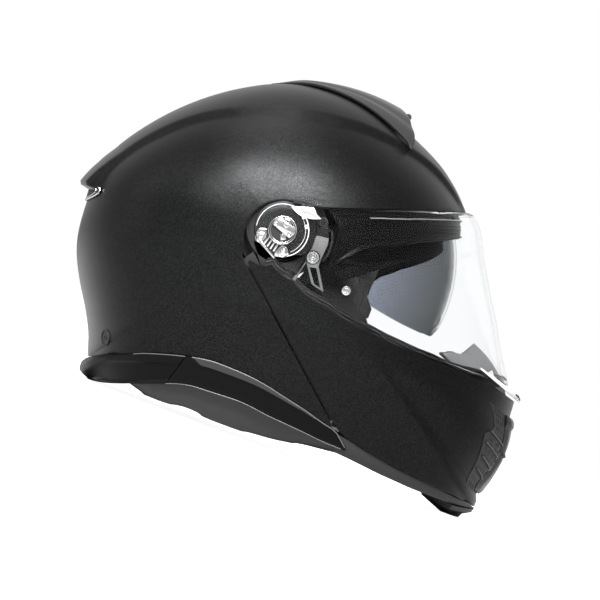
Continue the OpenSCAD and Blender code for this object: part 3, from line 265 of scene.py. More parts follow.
def chin_base(a, t):
    r, n = chin_oval(a)
    return place(*oval(r, CHIN_W, n, t), a)


def chin_face(a, t):
    p = chin_base(a, t)
    p.y += math.copysign(crease(p), t)
    return p


def visor_face(a, t):
    return place(*oval(R * curve(VISOR_SHARES, a), VISOR_W, VISOR_POWER, t), a)


def trim_face(a, t):
    r, n = trim_oval(a)
    return place(*oval(r, CHIN_W, n, t), a)


def foam_in_face(a, t):
    return place(*oval(R * curve(FOAM_IN_SHARES, a), 0.088 * look(FOAM_IN_WIDE_SHARES, a), 2.2, t), a)


def foam_out_face(a, t):
    depth = SHELL_WALL + 3 * SEAT
    r = R * (curve(SHELL_SHARES, a) - look(POCKET_SHARES, a)) - depth
    return place(*oval(r, shell_width(a) * look(FOAM_WIDE_SHARES, a) - depth, look(SHELL_POWER, a), t), a)


def outward(face, a, t):
    """Outward normal of a surface function"""
    e = 0.2
    return (face(a, t + e) - face(a, t - e)).cross(face(a + e, t) - face(a - e, t)).normalized()


def inset(face, depth, base=None):
    """The surface at a depth below another"""
    return lambda a, t: face(a, t) - depth * outward(base or face, a, t)


def steps(marks, step):
    """Angles through the marks, about one step apart"""
    found = [marks[0]]
    for a, b in zip(marks, marks[1:]):
        n = max(1, math.ceil(abs(b - a) / step))
        found += [mix(a, b, (i + 1) / n) for i in range(n)]
    return found


def reach(y, z):
    """Forward reach of the chin bar's surface at half width y and height z from the pivot"""
    x = math.sqrt((2.2 * R) ** 2 - z**2)
    for _ in range(6):
        a = math.degrees(math.atan2(z, x))
        n = look(CHIN_POWER, a)
        rho = R * curve(CHIN_SHARES, a) * (1 - (abs(y) / CHIN_W) ** n) ** (1 / n)
        x = math.sqrt(max(1e-6, rho**2 - z**2))
    return x


def chin_point(y, z, depth):
    e = 0.0005
    x = reach(y, z)
    dy = reach(abs(y) + e, z) - reach(max(0.0, abs(y) - e), z)
    normal = Vector((2 * e, math.copysign(-dy, y) if y else 0.0, 0)).normalized()
    return Vector((PIVOT_X + x, y, PIVOT_Z + z)) - depth * normal


# Building pieces
def grid_of(rows, cols):
    """A flat grid with a corner at 0 and sides of one unit, rows along x and columns along y"""
    bm = bmesh.new()
    bmesh.ops.create_grid(bm, x_segments=rows, y_segments=cols, size=0.5)
    bmesh.ops.translate(bm, verts=bm.verts, vec=(0.5, 0.5, 0))
    return bm


def face_out(bm):
    bmesh.ops.recalc_face_normals(bm, faces=bm.faces)
    return bm


def closed(bm):
    """Joins the points that meet, fills open ends and turns the faces outward"""
    bmesh.ops.remove_doubles(bm, verts=bm.verts, dist=1e-6)
    bmesh.ops.holes_fill(bm, edges=[e for e in bm.edges if e.is_boundary], sides=0)
    return face_out(bm)


def with_mirror_image(bm):
    bmesh.ops.mirror(bm, geom=bm.verts[:] + bm.edges[:] + bm.faces[:], axis="Y", merge_dist=1e-6)
    return bm


def both_sides(bm):
    """Adds the mirror image across the middle to a closed form"""
    return face_out(with_mirror_image(bm))


def right_and_left(bm):
    """A form on the right and its mirror image on the left"""
    left = bm.copy()
    bmesh.ops.scale(left, vec=(1, -1, 1), verts=left.verts)
    return ("right", bm), ("left", face_out(left))


def mirrored(bm):
    """Adds the right-hand half of a surface and joins it along the middle line"""
    with_mirror_image(bm)
    bmesh.ops.remove_doubles(bm, verts=bm.verts, dist=2e-6)
    return bm


def facing(bm):
    """Turns all faces away from the middle of the helmet"""
    face_out(bm)
    middle = Vector((0, 0, PIVOT_Z))
    if sum(f.normal.dot(f.calc_center_median() - middle) * f.calc_area() for f in bm.faces) < 0:
        bmesh.ops.reverse_faces(bm, faces=bm.faces)
    return bm


def thick_patch(outer, inner, rows, cols, mirror=True):
    """A closed form between two surfaces over rows of (angle, first t, last t)"""
    n = len(rows)
    across = 2 * cols + 2
    bm = grid_of(n + 1, across)
    for v in bm.verts:
        i, k = round(v.co.x * (n + 1)), round(v.co.y * across)
        a, t0, t1 = rows[max(0, min(n - 1, i - 1))]
        cap = i in (0, n + 1)
        if k == 0:
            v.co = (outer if cap else inner)(a, t0)
        elif k <= cols + 1:
            v.co = outer(a, mix(t0, t1, (k - 1) / cols))
        else:
            v.co = (outer if cap else inner)(a, mix(t1, t0, (k - cols - 2) / cols))
        if mirror and abs(v.co.y) < 1e-5:
            v.co.y = 0.0
    bmesh.ops.remove_doubles(bm, verts=bm.verts, dist=1e-6)
    bmesh.ops.dissolve_degenerate(bm, edges=bm.edges, dist=1e-7)
    if mirror:
        middle = [f for f in bm.faces if all(abs(v.co.y) < 1e-6 for v in f.verts)]
        bmesh.ops.delete(bm, geom=middle, context="FACES")
        mirrored(bm)
    return face_out(bm)


def loft(lines):
    """A closed form through equal lines, in order round its section"""
    m, n = len(lines), len(lines[0]) - 1
    bm = grid_of(m, n)
    for v in bm.verts:
        v.co = lines[round(v.co.x * m) % m][round(v.co.y * n)]
    return closed(bm)


def disc(x, z, y0, y1, r, r1=None, segments=48):
    """A round boss along Y"""
    bm = bmesh.new()
    bmesh.ops.create_cone(bm, cap_ends=True, segments=segments, radius1=r, radius2=r if r1 is None else r1,
        depth=y1 - y0)
    bmesh.ops.rotate(bm, verts=bm.verts, cent=(0, 0, 0), matrix=Matrix.Rotation(math.radians(-90), 3, "X"))
    bmesh.ops.translate(bm, verts=bm.verts, vec=(x, (y0 + y1) / 2, z))
    return bm


def washer(x, z, y0, y1, outer, inner, segments=64, start=0.0, sweep=360.0):
    """A flat ring along Y, or an arc of one that starts at an angle and runs upwards from the front"""
    bm = bmesh.new()
    edge = [(outer, y0), (outer, y1), (inner, y1), (inner, y0)]
    verts = [bm.verts.new((x + r, y, z)) for r, y in edge]
    edges = [bm.edges.new((verts[i], verts[(i + 1) % 4])) for i in range(4)]
    bmesh.ops.rotate(bm, verts=verts, cent=(x, 0, z), matrix=Matrix.Rotation(math.radians(-start), 3, "Y"))
    bmesh.ops.spin(bm, geom=verts + edges, cent=(x, 0, z), axis=(0, -1, 0), angle=math.radians(sweep),
        steps=segments, use_merge=sweep >= 360)
    return closed(bm)


def slab(points, y0, y1):
    """A plate of the side view, given in shares of R from the pivot"""
    bm = bmesh.new()
    face = bm.faces.new([bm.verts.new((x, y0, z)) for x, z in map(at, points)])
    made = bmesh.ops.extrude_face_region(bm, geom=[face])
    far = [g for g in made["geom"] if isinstance(g, bmesh.types.BMVert)]
    bmesh.ops.translate(bm, verts=far, vec=(0, y1 - y0, 0))
    return face_out(bm)


def bar(p, q, width, y0, y1):
    """A straight slab between two points of the side view"""
    d = (Vector(q) - Vector(p)).normalized() * width / 2 / R
    n = Vector((-d.y, d.x))
    p, q = Vector(p), Vector(q)
    return slab([p - n, q - n, q + n, p + n], y0, y1)


def together(*forms):
    """Several forms in one mesh"""
    whole = bmesh.new()
    for bm in forms:
        mesh = bpy.data.meshes.new("part")
        bm.to_mesh(mesh)
        bm.free()
        whole.from_mesh(mesh)
        bpy.data.meshes.remove(mesh)
    return whole


def half_patch(face, rows, cols, keep=None):
    """Lays a grid on the left half of a surface, over rows of (angle, first t, last t), and mirrors it. A row may add
    the share of its columns that lie before a middle t."""
    bm = grid_of(len(rows) - 1, cols)
    spots = {}
    for v in bm.verts:
        a, t0, t1, *knee = rows[round(v.co.x * (len(rows) - 1))]
        u = v.co.y
        if knee:
            share, mid = knee
            t = mix(t0, mid, u / share) if u <= share else mix(mid, t1, (u - share) / (1 - share))
        else:
            t = mix(t0, t1, u)
        spots[v] = (a, t)
    if keep:
        gone = [f for f in bm.faces if not keep(sum(spots[v][0] for v in f.verts) / 4,
            sum(spots[v][1] for v in f.verts) / 4)]
        bmesh.ops.delete(bm, geom=gone, context="FACES")
    for v in bm.verts:
        a, t = spots[v]
        v.co = face(a, t)
        if abs(t) < 1e-6:
            v.co.y = 0.0
    return facing(mirrored(bm))


def modifier(obj, name, kind, **values):
    m = obj.modifiers.new(name, kind)
    for key, value in values.items():
        setattr(m, key, value)
    return m


def rounded(obj, width, angle):
    """Rounds the edges that are sharper than an angle"""
    modifier(obj, "edges", "BEVEL", width=width, segments=2, limit_method="ANGLE", angle_limit=math.radians(angle))


def settled(obj):
    """Applies an object's modifiers"""
    graph = bpy.context.evaluated_depsgraph_get()
    graph.update()
    mesh = bpy.data.meshes.new_from_object(obj.evaluated_get(graph))
    obj.modifiers.clear()
    obj.data = mesh
    return obj


def piece(name, bm, body, finish, slot, *stands_for, wall=0.0, soften=0.0, subdivide=0, sharp=38, thin=None):
    """Makes a finished piece of a bmesh: its wall, its softened edges, its material and the body that it rides on"""
    mesh = bpy.data.meshes.new(name)
    bm.to_mesh(mesh)
    bm.free()
    obj = bpy.data.objects.new(name, mesh)
    bpy.context.scene.collection.objects.link(obj)
    mesh.materials.append(finish)
    if wall:
        m = modifier(obj, "wall", "SOLIDIFY", thickness=wall, offset=-1, use_even_offset=True,
            use_quality_normals=True)
        if thin:
            share = obj.vertex_groups.new(name="wall")
            for v in mesh.vertices:
                share.add([v.index], thin(v.co), "REPLACE")
            m.vertex_group = "wall"
            m.thickness_vertex_group = 0.0
    if soften:
        rounded(obj, soften, 50)
    if subdivide:
        modifier(obj, "smooth", "SUBSURF", levels=subdivide, render_levels=subdivide)
    if obj.modifiers:
        settled(obj)
    obj.data.polygons.foreach_set("use_smooth", [True] * len(obj.data.polygons))
    if sharp:
        obj.data.set_sharp_from_angle(angle=math.radians(sharp))
    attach(obj, body)
    if stands_for:
        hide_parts(*stands_for)
    return obj


def pair(name, forms, *looks, **shape):
    """A piece of several forms of one side and their mirror images"""
    return piece(name, both_sides(together(*forms)), *looks, **shape)


# Materials
def group(name, inputs, outputs):
    """An empty shader node group, with named inputs and their values, and named outputs"""
    tree = bpy.data.node_groups.new(name, "ShaderNodeTree")
    for label, value in inputs.items():
        kind = "Float" if isinstance(value, float) else "Vector" if len(value) == 3 else "Color"
        socket = tree.interface.new_socket(label, in_out="INPUT", socket_type="NodeSocket" + kind)
        socket.default_value = value
    for label in outputs:
        kind = "Color" if label == "Color" else "Float"
        tree.interface.new_socket(label, in_out="OUTPUT", socket_type="NodeSocket" + kind)
    return tree, tree.nodes.new("NodeGroupInput").outputs, tree.nodes.new("NodeGroupOutput").inputs


def feed(tree, socket, value):
    """Links an input to another node's output, or gives it a value"""
    if isinstance(value, bpy.types.NodeSocket):
        tree.links.new(value, socket)
    else:
        socket.default_value = value


def node(tree, kind, **values):
    """A node with its settings, and with inputs given by name"""
    n = tree.nodes.new("ShaderNode" + kind)
    for key, value in values.items():
        if hasattr(n, key):
            setattr(n, key, value)
        else:
            feed(tree, n.inputs[key.replace("_", " ")], value)
    return n


def calc(tree, operation, *values, kind="Math"):
    """The result of a sum on outputs and numbers"""
    n = node(tree, kind, operation=operation)
    for socket, value in zip(n.inputs, values):
        feed(tree, socket, value)
    return n.outputs[0]


def ramp(tree, source, low, high, to_low=0.0, to_high=1.0):
    n = node(tree, "MapRange")
    for socket, value in zip(n.inputs, (source, low, high, to_low, to_high)):
        feed(tree, socket, value)
    return n.outputs[0]


def blend(tree, share, low, high):
    """A colour between two others"""
    n = node(tree, "Mix", data_type="RGBA")
    for i, value in ((0, share), (6, low), (7, high)):
        feed(tree, n.inputs[i], value)
    return n.outputs[2]


def grey(v, cool=0.0):
    return (v, v * (1 + cool * 0.5), v * (1 + cool), 1)


def flake_group():
    """Metallic flake: tiny grains of lighter and darker paint"""
    tree, given, out = group("Metallic flake", {"Vector": (0, 0, 0), "Scale": 2600.0, "Dark": grey(0.02),
        "Light": grey(0.2), "Roughness": 0.4}, ("Color", "Roughness", "Height"))
    cells = node(tree, "TexVoronoi", Vector=given["Vector"], Scale=given["Scale"])
    soft = node(tree, "TexNoise", Vector=given["Vector"], Scale=14.0, Detail=3.0)
    grain = node(tree, "SeparateColor", Color=cells.outputs["Color"]).outputs
    feed(tree, out["Color"], blend(tree, calc(tree, "POWER", grain[0], 3.0), given["Dark"], given["Light"]))
    feed(tree, out["Roughness"], calc(tree, "MULTIPLY_ADD", soft.outputs["Fac"], 0.05, given["Roughness"]))
    feed(tree, out["Height"], grain[1])
    return tree


def grain_group():
    """Moulded grain: fine pebbled relief, with faint cloudy changes of colour and gloss"""
    tree, given, out = group("Moulded grain", {"Vector": (0, 0, 0), "Scale": 900.0, "Color": grey(0.03),
        "Variation": 0.25, "Roughness": 0.5}, ("Color", "Roughness", "Height"))
    fine = node(tree, "TexNoise", Vector=given["Vector"], Scale=given["Scale"], Detail=4.0)
    cloud = node(tree, "TexNoise", Vector=given["Vector"], Scale=22.0, Detail=5.0)
    change = calc(tree, "MULTIPLY", calc(tree, "SUBTRACT", cloud.outputs["Fac"], 0.5), given["Variation"])
    level = calc(tree, "ADD", change, 1.0)
    tone = node(tree, "VectorMath", operation="SCALE", Scale=level)
    feed(tree, tone.inputs[0], given["Color"])
    feed(tree, out["Color"], tone.outputs[0])
    feed(tree, out["Roughness"], calc(tree, "MULTIPLY", given["Roughness"], level))
    feed(tree, out["Height"], fine.outputs["Fac"])
    return tree


def weave_group():
    """Crossing ribs of woven webbing or knitted cloth"""
    tree, given, out = group("Weave", {"Vector": (0, 0, 0), "Across": 600.0, "Along": 450.0, "Color": grey(0.03),
        "Light": grey(0.06)}, ("Color", "Height"))
    axes = node(tree, "SeparateXYZ", Vector=given["Vector"]).outputs
    across, along = (calc(tree, "SINE", calc(tree, "MULTIPLY", axes[i], given[label]))
        for i, label in ((1, "Across"), (2, "Along")))
    ribs = ramp(tree, calc(tree, "MULTIPLY", across, along), -1, 1)
    fuzz = node(tree, "TexNoise", Vector=given["Vector"], Scale=1400.0, Detail=2.0)
    feed(tree, out["Color"], blend(tree, ribs, given["Color"], given["Light"]))
    feed(tree, out["Height"], calc(tree, "MULTIPLY_ADD", ribs, 0.35, fuzz.outputs["Fac"]))
    return tree


def tint_group():
    """Smoke tint of a lens: deeper towards its front, and nearly clear in a band down the middle of its front, a
    painted glare along the lens's front edge
    """
    tree, given, out = group("Lens tint", {"Vector": (0, 0, 0), "Centre": (0, 0, 0), "Radius": 0.1,
        "Near": grey(0.5), "Far": grey(0.3), "Rim": grey(1.0)}, ("Color",))
    offset = calc(tree, "SUBTRACT", given["Vector"], given["Centre"], kind="VectorMath")
    flat = calc(tree, "MULTIPLY", offset, (1, 0, 1), kind="VectorMath")
    far = node(tree, "VectorMath", operation="LENGTH")
    feed(tree, far.inputs[0], flat)
    share = calc(tree, "DIVIDE", far.outputs["Value"], given["Radius"])
    lens = blend(tree, ramp(tree, share, 0.45, 0.92), given["Near"], given["Far"])
    # The front middle band takes the near-white Glare colour: painted glare
    feed(tree, out["Color"], blend(tree, ramp(tree, share, 0.974, 0.982), lens, given["Rim"]))
    return tree


FLAKE, GRAIN, WEAVE, TINT = flake_group(), grain_group(), weave_group(), tint_group()


def finish(name, effect_tree, values, bump=0.1, reach=0.0002, **shader):
    """A material of one node group and one Principled shader"""
    m = bpy.data.materials.new(name)
    m.use_nodes = True
    tree = m.node_tree
    bsdf = tree.nodes["Principled BSDF"].inputs
    effect = node(tree, "Group", node_tree=effect_tree, **values)
    feed(tree, effect.inputs["Vector"], node(tree, "TexCoord").outputs["Object"])
    feed(tree, bsdf["Base Color"], effect.outputs["Color"])
    if "Roughness" in effect.outputs:
        feed(tree, bsdf["Roughness"], effect.outputs["Roughness"])
    if bump:
        relief = node(tree, "Bump", Strength=bump, Distance=reach, Height=effect.outputs["Height"])
        feed(tree, bsdf["Normal"], relief.outputs[0])
    for label, value in shader.items():
        bsdf[label.replace("_", " ")].default_value = value
    return m


def moulding(name, tone, roughness, bump, specular, cool=0.0, reach=0.0002, **values):
    """A plastic, rubber or foam with a moulded grain"""
    return finish(name, GRAIN, {"Color": grey(tone, cool), "Roughness": roughness, **values}, bump, reach,
        Specular_IOR_Level=specular)


def cloth(name, dark, light, across, along, bump, roughness, reach=0.0002, **shader):
    return finish(name, WEAVE, {"Color": dark, "Light": light, "Across": across, "Along": along}, bump, reach,
        Roughness=roughness, **shader)


PAINT = finish("matte_metallic_paint", FLAKE, {"Dark": grey(0.0035, 0.03), "Light": grey(0.021, 0.04),
    "Scale": 3600.0, "Roughness": 0.37}, bump=0.03, Metallic=0.97, Specular_IOR_Level=0.2)
SATIN = moulding("satin_black_plastic", 0.007, 0.34, 0.05, 0.28)
DEEP_SATIN = moulding("deep_black_satin", 0.0012, 0.36, 0.04, 0.05)
MOULDED = moulding("moulded_black_plastic", 0.0035, 0.5, 0.15, 0.25)
RUBBER = moulding("black_rubber", 0.003, 0.62, 0.18, 0.25, Scale=1300.0)
SOFT_GREY = moulding("grey_rubber", 0.12, 0.6, 0.15, 0.4, cool=0.03)
# Lighter grey for thin lines that paint the highlights along the trims' rounded edges
EDGE_HIGHLIGHT_GREY = moulding("painted_edge_highlight_grey", 0.05, 0.4, 0.03, 0.3)
SKIRT = moulding("skirt_leatherette", 0.009, 0.55, 0.12, 0.3, cool=0.04, Scale=1500.0)
GREY_TRIM = moulding("grey_moulded_trim", 0.010, 0.45, 0.1, 0.2, cool=0.03)
MESH = moulding("vent_mesh", 0.006, 0.5, 0.1, 0.25)
BEADS = moulding("bead_foam", 0.006, 0.8, 0.5, 0.15, reach=0.0006, Scale=260.0)
METAL = finish("zinc_plated_metal", GRAIN, {"Color": grey(0.33), "Roughness": 0.22, "Scale": 420.0,
    "Variation": 0.5}, bump=0.12, Metallic=1.0)
DULL_METAL = finish("dull_pressed_metal", GRAIN, {"Color": grey(0.13), "Roughness": 0.42, "Scale": 500.0,
    "Variation": 0.4}, bump=0.12, Metallic=1.0)
# White mirror finish for a patch that paints a highlight on the clear visor
GLINT = finish("painted_highlight_mirror", GRAIN, {"Color": grey(0.95), "Roughness": 0.08, "Variation": 0.05}, bump=0.02,
    Metallic=1.0)
# Clear plastic with a whitish colour, so that rims show painted highlights along their edges
CLEAR_RIM_PAINTED_HIGHLIGHT = finish("clear_rim_with_painted_highlight", GRAIN, {"Color": grey(0.75), "Roughness": 0.12, "Variation": 0.1},
    bump=0.05, Transmission_Weight=0.55, IOR=1.45)
CLEAR = finish("clear_polycarbonate", GRAIN, {"Color": (0.98, 0.99, 0.995, 1), "Roughness": 0.015,
    "Variation": 0.02, "Scale": 40.0}, bump=0.0, Transmission_Weight=1.0, IOR=1.12)
# Smoke lens whose near-white Glare band paints the glare along its front edge
SMOKE = finish("smoke_polycarbonate", TINT, {"Centre": (SUN_X, 0, SUN_Z), "Near": (0.50, 0.52, 0.58, 1),
    "Far": (0.32, 0.33, 0.335, 1), "Rim": (0.97, 0.97, 0.97, 1), "Radius": SUN_R}, bump=0.0, Roughness=0.015,
    Transmission_Weight=1.0, IOR=1.08)
LINING = cloth("brushed_lining", grey(0.008, 0.05), grey(0.026, 0.06), 2600.0, 2200.0, 0.35, 0.9,
    Sheen_Weight=0.15, Specular_IOR_Level=0.2)
BINDING = cloth("lining_binding", grey(0.006), grey(0.016), 3600.0, 3600.0, 0.3, 0.8, Specular_IOR_Level=0.2)
WEBBING = cloth("strap_webbing", grey(0.008), grey(0.026), 1800.0, 3000.0, 0.6, 0.75, reach=0.0004,
    Specular_IOR_Level=0.25)
THREAD = cloth("stitching", grey(0.05), grey(0.10), 4000.0, 4000.0, 0.3, 0.7)


# Painted shell
def socket_reach(a):
    """Distance from the pivot to the edge of the round socket, whose centre lies a little below"""
    off, turn = math.hypot(SOCKET_X, SOCKET_Z), math.degrees(math.atan2(SOCKET_Z, SOCKET_X))
    return off * cosine(a - turn) + math.sqrt(SOCKET_R**2 - (off * sine(a - turn)) ** 2)


def seam_reach(a, gap):
    """Distance from the pivot to the straight seam between shell and chin bar, with a gap added"""
    return (R * SEAM_SHARE + gap) / cosine(a - SEAM_ANGLE)


def brow_reach(a):
    """How far out the eye port's straight upper edge lies, a little above the CAD's"""
    return R * BROW_SHARE * 1.035 / sine(a - BROW_ANGLE)


def shell_inner(a):
    brow = brow_reach(a) if a < 97 else 0
    if a < 215:
        return max(socket_reach(a), brow)
    return mix(socket_reach(min(a, 250)), seam_reach(a, GROOVE), ease((a - 218) / 22))


def shell_rows():
    rows = []
    for a in steps([26.6, 27.2, 28, 29.5, 31.5, 35, 40, 46, 97, 174, 180, 184.6, 186.4, 187.4, 188.4, 191, 200, 229,
            233.2, 233.7, 234.6, 236, 238.5, 242, 253, 290, 301.5, 304.5], 1.6):
        r, n = shell_oval(a)
        hem = 0.0 if a <= 233.2 else t_of(R * hem_reach(a), r, n)
        rows.append((a, hem, t_of(shell_inner(a), r, n)))
    return rows


def shell():
    def lip(co):
        return 1 - (1 - LIP_T / SHELL_WALL) * (1 - ease((math.hypot(co.x - PIVOT_X, co.z - PIVOT_Z) - 0.032) / 0.005))
    return piece("shell_paint", half_patch(shell_face, shell_rows(), 84), "shell", PAINT, "shell_paint",
        "outer_shell", wall=SHELL_WALL, soften=0.0005, thin=lip)


# Chin bar
CHIN_WINDOW = (-29.4, -22.7)
WINDOW_T = 18


def chin_rows(low=-117, high=-15.7, step=1.4):
    rows = []
    for a in steps([low, -90, -60, -54, -50, -44, -39.5, -36.5, -34.6, -33, CHIN_WINDOW[0], CHIN_WINDOW[1], -20, high],
            step):
        r, n = chin_oval(a)
        if a < -53.6:
            edge = R * SEAM_SHARE / cosine(a + 360 - SEAM_ANGLE) - SEAT
        else:
            edge = R * look(CHIN_LOW_SHARES, a)
        first = 0.0 if a > -34.6 else t_of(edge, r, n)
        last = t_of(R * look(CHIN_TOP_SHARES, a), r, n)
        rows.append((a, first, last, 0.25, WINDOW_T if a >= -34.6 else mix(first, last, 0.25)))
    return rows


def chin_bar():
    def keep(a, t):
        return not (CHIN_WINDOW[0] < a < CHIN_WINDOW[1] and t < WINDOW_T)
    return piece("chin_bar_paint", half_patch(chin_face, chin_rows(), 64, keep), "chin_bar", PAINT, "shell_paint",
        "chin_bar_shell", wall=CHIN_WALL, soften=0.0006)


# Clear visor
def visor():
    rows = []
    for a in steps([-78, -60, -42, -27, -18, -14.6, -13.8, -11, 21, 25.2, 26.2, 27.5, 32, 42, 68], 1.5):
        r = R * curve(VISOR_SHARES, a)
        edge = r
        if a > 25.2:
            edge = R * BROW_SHARE / sine(a - BROW_ANGLE)
        elif a < -13.8:
            edge = R * look(VISOR_LOW_SHARES, a)
        rows.append((a, t_of(edge, r, VISOR_POWER), t_of(RING_R + SEAT, r, VISOR_POWER)))
    return piece("visor_shield", half_patch(visor_face, rows, 60), "visor", CLEAR, "clear_lens", "visor",
        wall=VISOR_T, soften=0.0004)


# Lower trims
def rim_radius(a):
    return R * curve(TRIM_SHARES if a < RIM_SHARES[0][0] else RIM_SHARES, a)


def trim_row(a):
    r, n = trim_oval(a)
    hem = R * hem_reach(a) + SEAT
    if a > 300:
        hem = max(hem, seam_reach(a, GROOVE))
    return a, 0.0 if a <= RIM_SHARES[0][0] else t_of(rim_radius(a), r, n), t_of(hem, r, n)


def hem_t(table, a, above=0.0):
    """Where a surface meets the shell's lower edge, or a line at a distance above it"""
    return t_of(R * hem_reach(a) + above, R * curve(table, a), look(SHELL_POWER, a))


def highlight_line(rows, end, radius):
    """A thin raised line along one end of a trim's rows, that carries a painted highlight of the trim's edge"""
    return both_sides(tube([inset(trim_skin, -0.0001)(row[0], row[end]) for row in rows], radius, 6))


def lower_trims():
    rear = [trim_row(a) for a in steps([233.3, 233.7, 234.6, 236.3, 237.6, 239.5, 242, 252.9], 0.8)]
    piece("rear_trim_skin", half_patch(trim_skin, rear, 24), "shell", DEEP_SATIN, "black_trim", "rear_lower_trim",
        wall=TRIM_WALL, soften=0.0005)
    side = [trim_row(a) for a in steps([253.2, 264, 285, 303.5, 306.5], 1.0)]
    both = half_patch(trim_skin, side, 20)
    for name, sign in (("right", -1), ("left", 1)):
        bm = both.copy()
        bmesh.ops.delete(bm, geom=[v for v in bm.verts if v.co.y * sign < 0], context="VERTS")
        piece(f"side_trim_skin_{name}", bm, "shell", DEEP_SATIN, "black_trim", f"side_trim_{name}",
            wall=TRIM_WALL, soften=0.0005)
    both.free()
    lines = [highlight_line(side[2:], 2, 0.0004), highlight_line(side[:-1], 1, 0.0003), highlight_line(rear[12:], 2, 0.0003)]
    bevel = []
    for a, _, top in side[3:-6]:
        r, n = trim_oval(a)
        fall = 0.0046 * ease((a - 255) / 5) * (1 - ((a - 255) / 50) ** 2) + 0.0004
        bevel.append((a, t_of(R * hem_reach(a) + SEAT + fall, r, n), top))
    form = half_patch(inset(trim_skin, -0.0003), bevel, 4)
    piece("side_trim_bevel", form, "shell", SATIN, "black_trim", wall=0.0008)
    # Grey lines along the trims' edges: painted highlights
    piece("trim_highlight_lines", together(*lines), "shell", EDGE_HIGHLIGHT_GREY, "black_trim")
    back = 233.25
    on_shell, on_trim = ([(back, hem_t(table, back) * k / 10) for k in range(10)]
        + [(a, hem_t(table, a)) for a in steps([back, 233.7, 234.6, 236, 242, 253, 270, 303], 0.7)]
        for table in (SHELL_SHARES, TRIM_SHARES))
    ledge = loft([[inset(face, depth)(a, t) for a, t in line] for face, depth, line in (
        (shell_face, 0.0008, on_shell), (trim_face, 0.0002, on_trim), (trim_face, 0.0024, on_trim),
        (shell_face, 0.0036, on_shell))])
    piece("trim_ledge", both_sides(ledge), "shell", DEEP_SATIN, "black_trim")
    band = [(a, hem_t(TRIM_SHARES, a, 0.004), hem_t(TRIM_SHARES, a, -0.008))
        for a in steps([234.2, 242, 253, 270, 305.6], 1.6)]
    piece("trim_flange", half_patch(inset(trim_face, 0.0068), band, 8), "shell", MOULDED, "black_trim", wall=0.0012)
    strip = []
    for a in steps([236, 270, 306.6], 1.6):
        r, n = shell_oval(a)
        strip.append((a, t_of(min(R * 1.45, seam_reach(a, 0.006)), r, n), t_of(seam_reach(a, -0.007), r, n)))
    piece("seam_flange", half_patch(inset(shell_face, 0.0062), strip, 6), "shell", MOULDED, "black_trim", wall=0.0012)


def trim_skin(a, t):
    """The trim's surface with the sunken panel behind its rim"""
    r, n = trim_oval(a)
    rho = oval(r, CHIN_W, n, t)[0]
    hem, rim = R * hem_reach(a), rim_radius(a)
    u = (rho - hem) / max(1e-5, rim - hem)
    sunk = 0.0018 * ease((u - 0.24) / 0.10) * (1 - ease((u - 0.88) / 0.08)) * ease((a - 235) / 2)
    sunk *= 1 - ease((a - 252) / 4) * 0.6
    return trim_face(a, t) - sunk * outward(trim_face, a, t)


# Brow
def brow():
    rows = []
    for a in steps([27.2, 28, 29.5, 35, 52], 1.0):
        r, n = shell_oval(a)
        high = brow_reach(a) + 0.008 / sine(a - BROW_ANGLE)
        rows.append((a, 0.0 if a <= 30.5 else t_of(high, r, n), t_of(shell_inner(a), r, n)))
    seal = half_patch(inset(shell_face, SHELL_WALL + 3 * SEAT, shell_base), rows, 30)
    piece("brow_seal_strip", seal, "shell", RUBBER, "rubber", "brow_seal", wall=0.0009, soften=0.0003)


# Brow trim, along the shell's edge over the eye port, with a moulded bead and a lip
BROW_LOW_SHARES = [(0.36, 0.60), (0.41, 0.56), (0.425, 0.37), (0.47, 0.315), (0.557, 0.268), (0.658, 0.245),
    (0.793, 0.228), (0.927, 0.205), (1.062, 0.189), (1.217, 0.165), (1.25, 0.16)]
BROW_TOP_SHARE = 0.12
BEAD_SHARE = 0.050
FRONT_SHARE, FRONT_POWER = SHELL_SHARES[0][1], SHELL_POWER[0][1]
FLUTE_SHARES = (0.088, 0.112, 0.137)


def hill(x, mid, width):
    return math.exp(-((x - mid) / width) ** 2)


def brow_spot(t, d, low):
    """A point of the trim at a share of R below the shell's edge"""
    a = 27.0
    for _ in range(8):
        r, n = curve(SHELL_SHARES, a), look(SHELL_POWER, a)
        rho = r * abs(cosine(t)) ** (2 / n)
        a = BROW_ANGLE + math.degrees(math.asin(max(-1.0, min(1.0, (BROW_SHARE - d) / rho))))
    front = ease((rho - 0.85) / 0.3)
    rise = 0.0010 * hill(d, BEAD_SHARE, 0.007) - 0.0012 * hill(d, 0.018, 0.012)
    rise += 0.0006 * front * sum(hill(d, f, 0.006) for f in FLUTE_SHARES)
    rise += 0.0012 * hill(d, low, 0.010) - 0.0010 * ease((d - BROW_TOP_SHARE) / 0.03) * (1 - hill(d, low, 0.02))
    return inset(shell_base, 0.0034 - rise)(a, t)


def brow_trim():
    last = t_of(0.38, FRONT_SHARE, FRONT_POWER)
    bm = grid_of(56, 56)
    for v in bm.verts:
        t = last * v.co.x ** 0.85
        low = look(BROW_LOW_SHARES, FRONT_SHARE * cosine(t) ** (2 / FRONT_POWER))
        d = v.co.y / 0.6 * BROW_TOP_SHARE if v.co.y < 0.6 else mix(BROW_TOP_SHARE, low, (v.co.y - 0.6) / 0.4)
        v.co = brow_spot(max(t, 0.01), d, low)
        if t < 1e-6:
            v.co.y = 0.0
    piece("brow_trim", facing(mirrored(bm)), "shell", DEEP_SATIN, "black_trim", wall=0.002, soften=0.0005)
    # A bright metal line along the bead: a painted highlight of the trim's moulded lip
    first = t_of(0.60, FRONT_SHARE, FRONT_POWER)
    line = [brow_spot(mix(first, 0.01, (k / 24) ** 0.8), BEAD_SHARE, 0.2) for k in range(25)]
    line = [p + 0.0006 * Vector((0.3, p.y / 0.12, 0)) for p in line]
    piece("brow_highlight_line", both_sides(tube(line, 0.0005)), "shell", METAL, "black_trim")


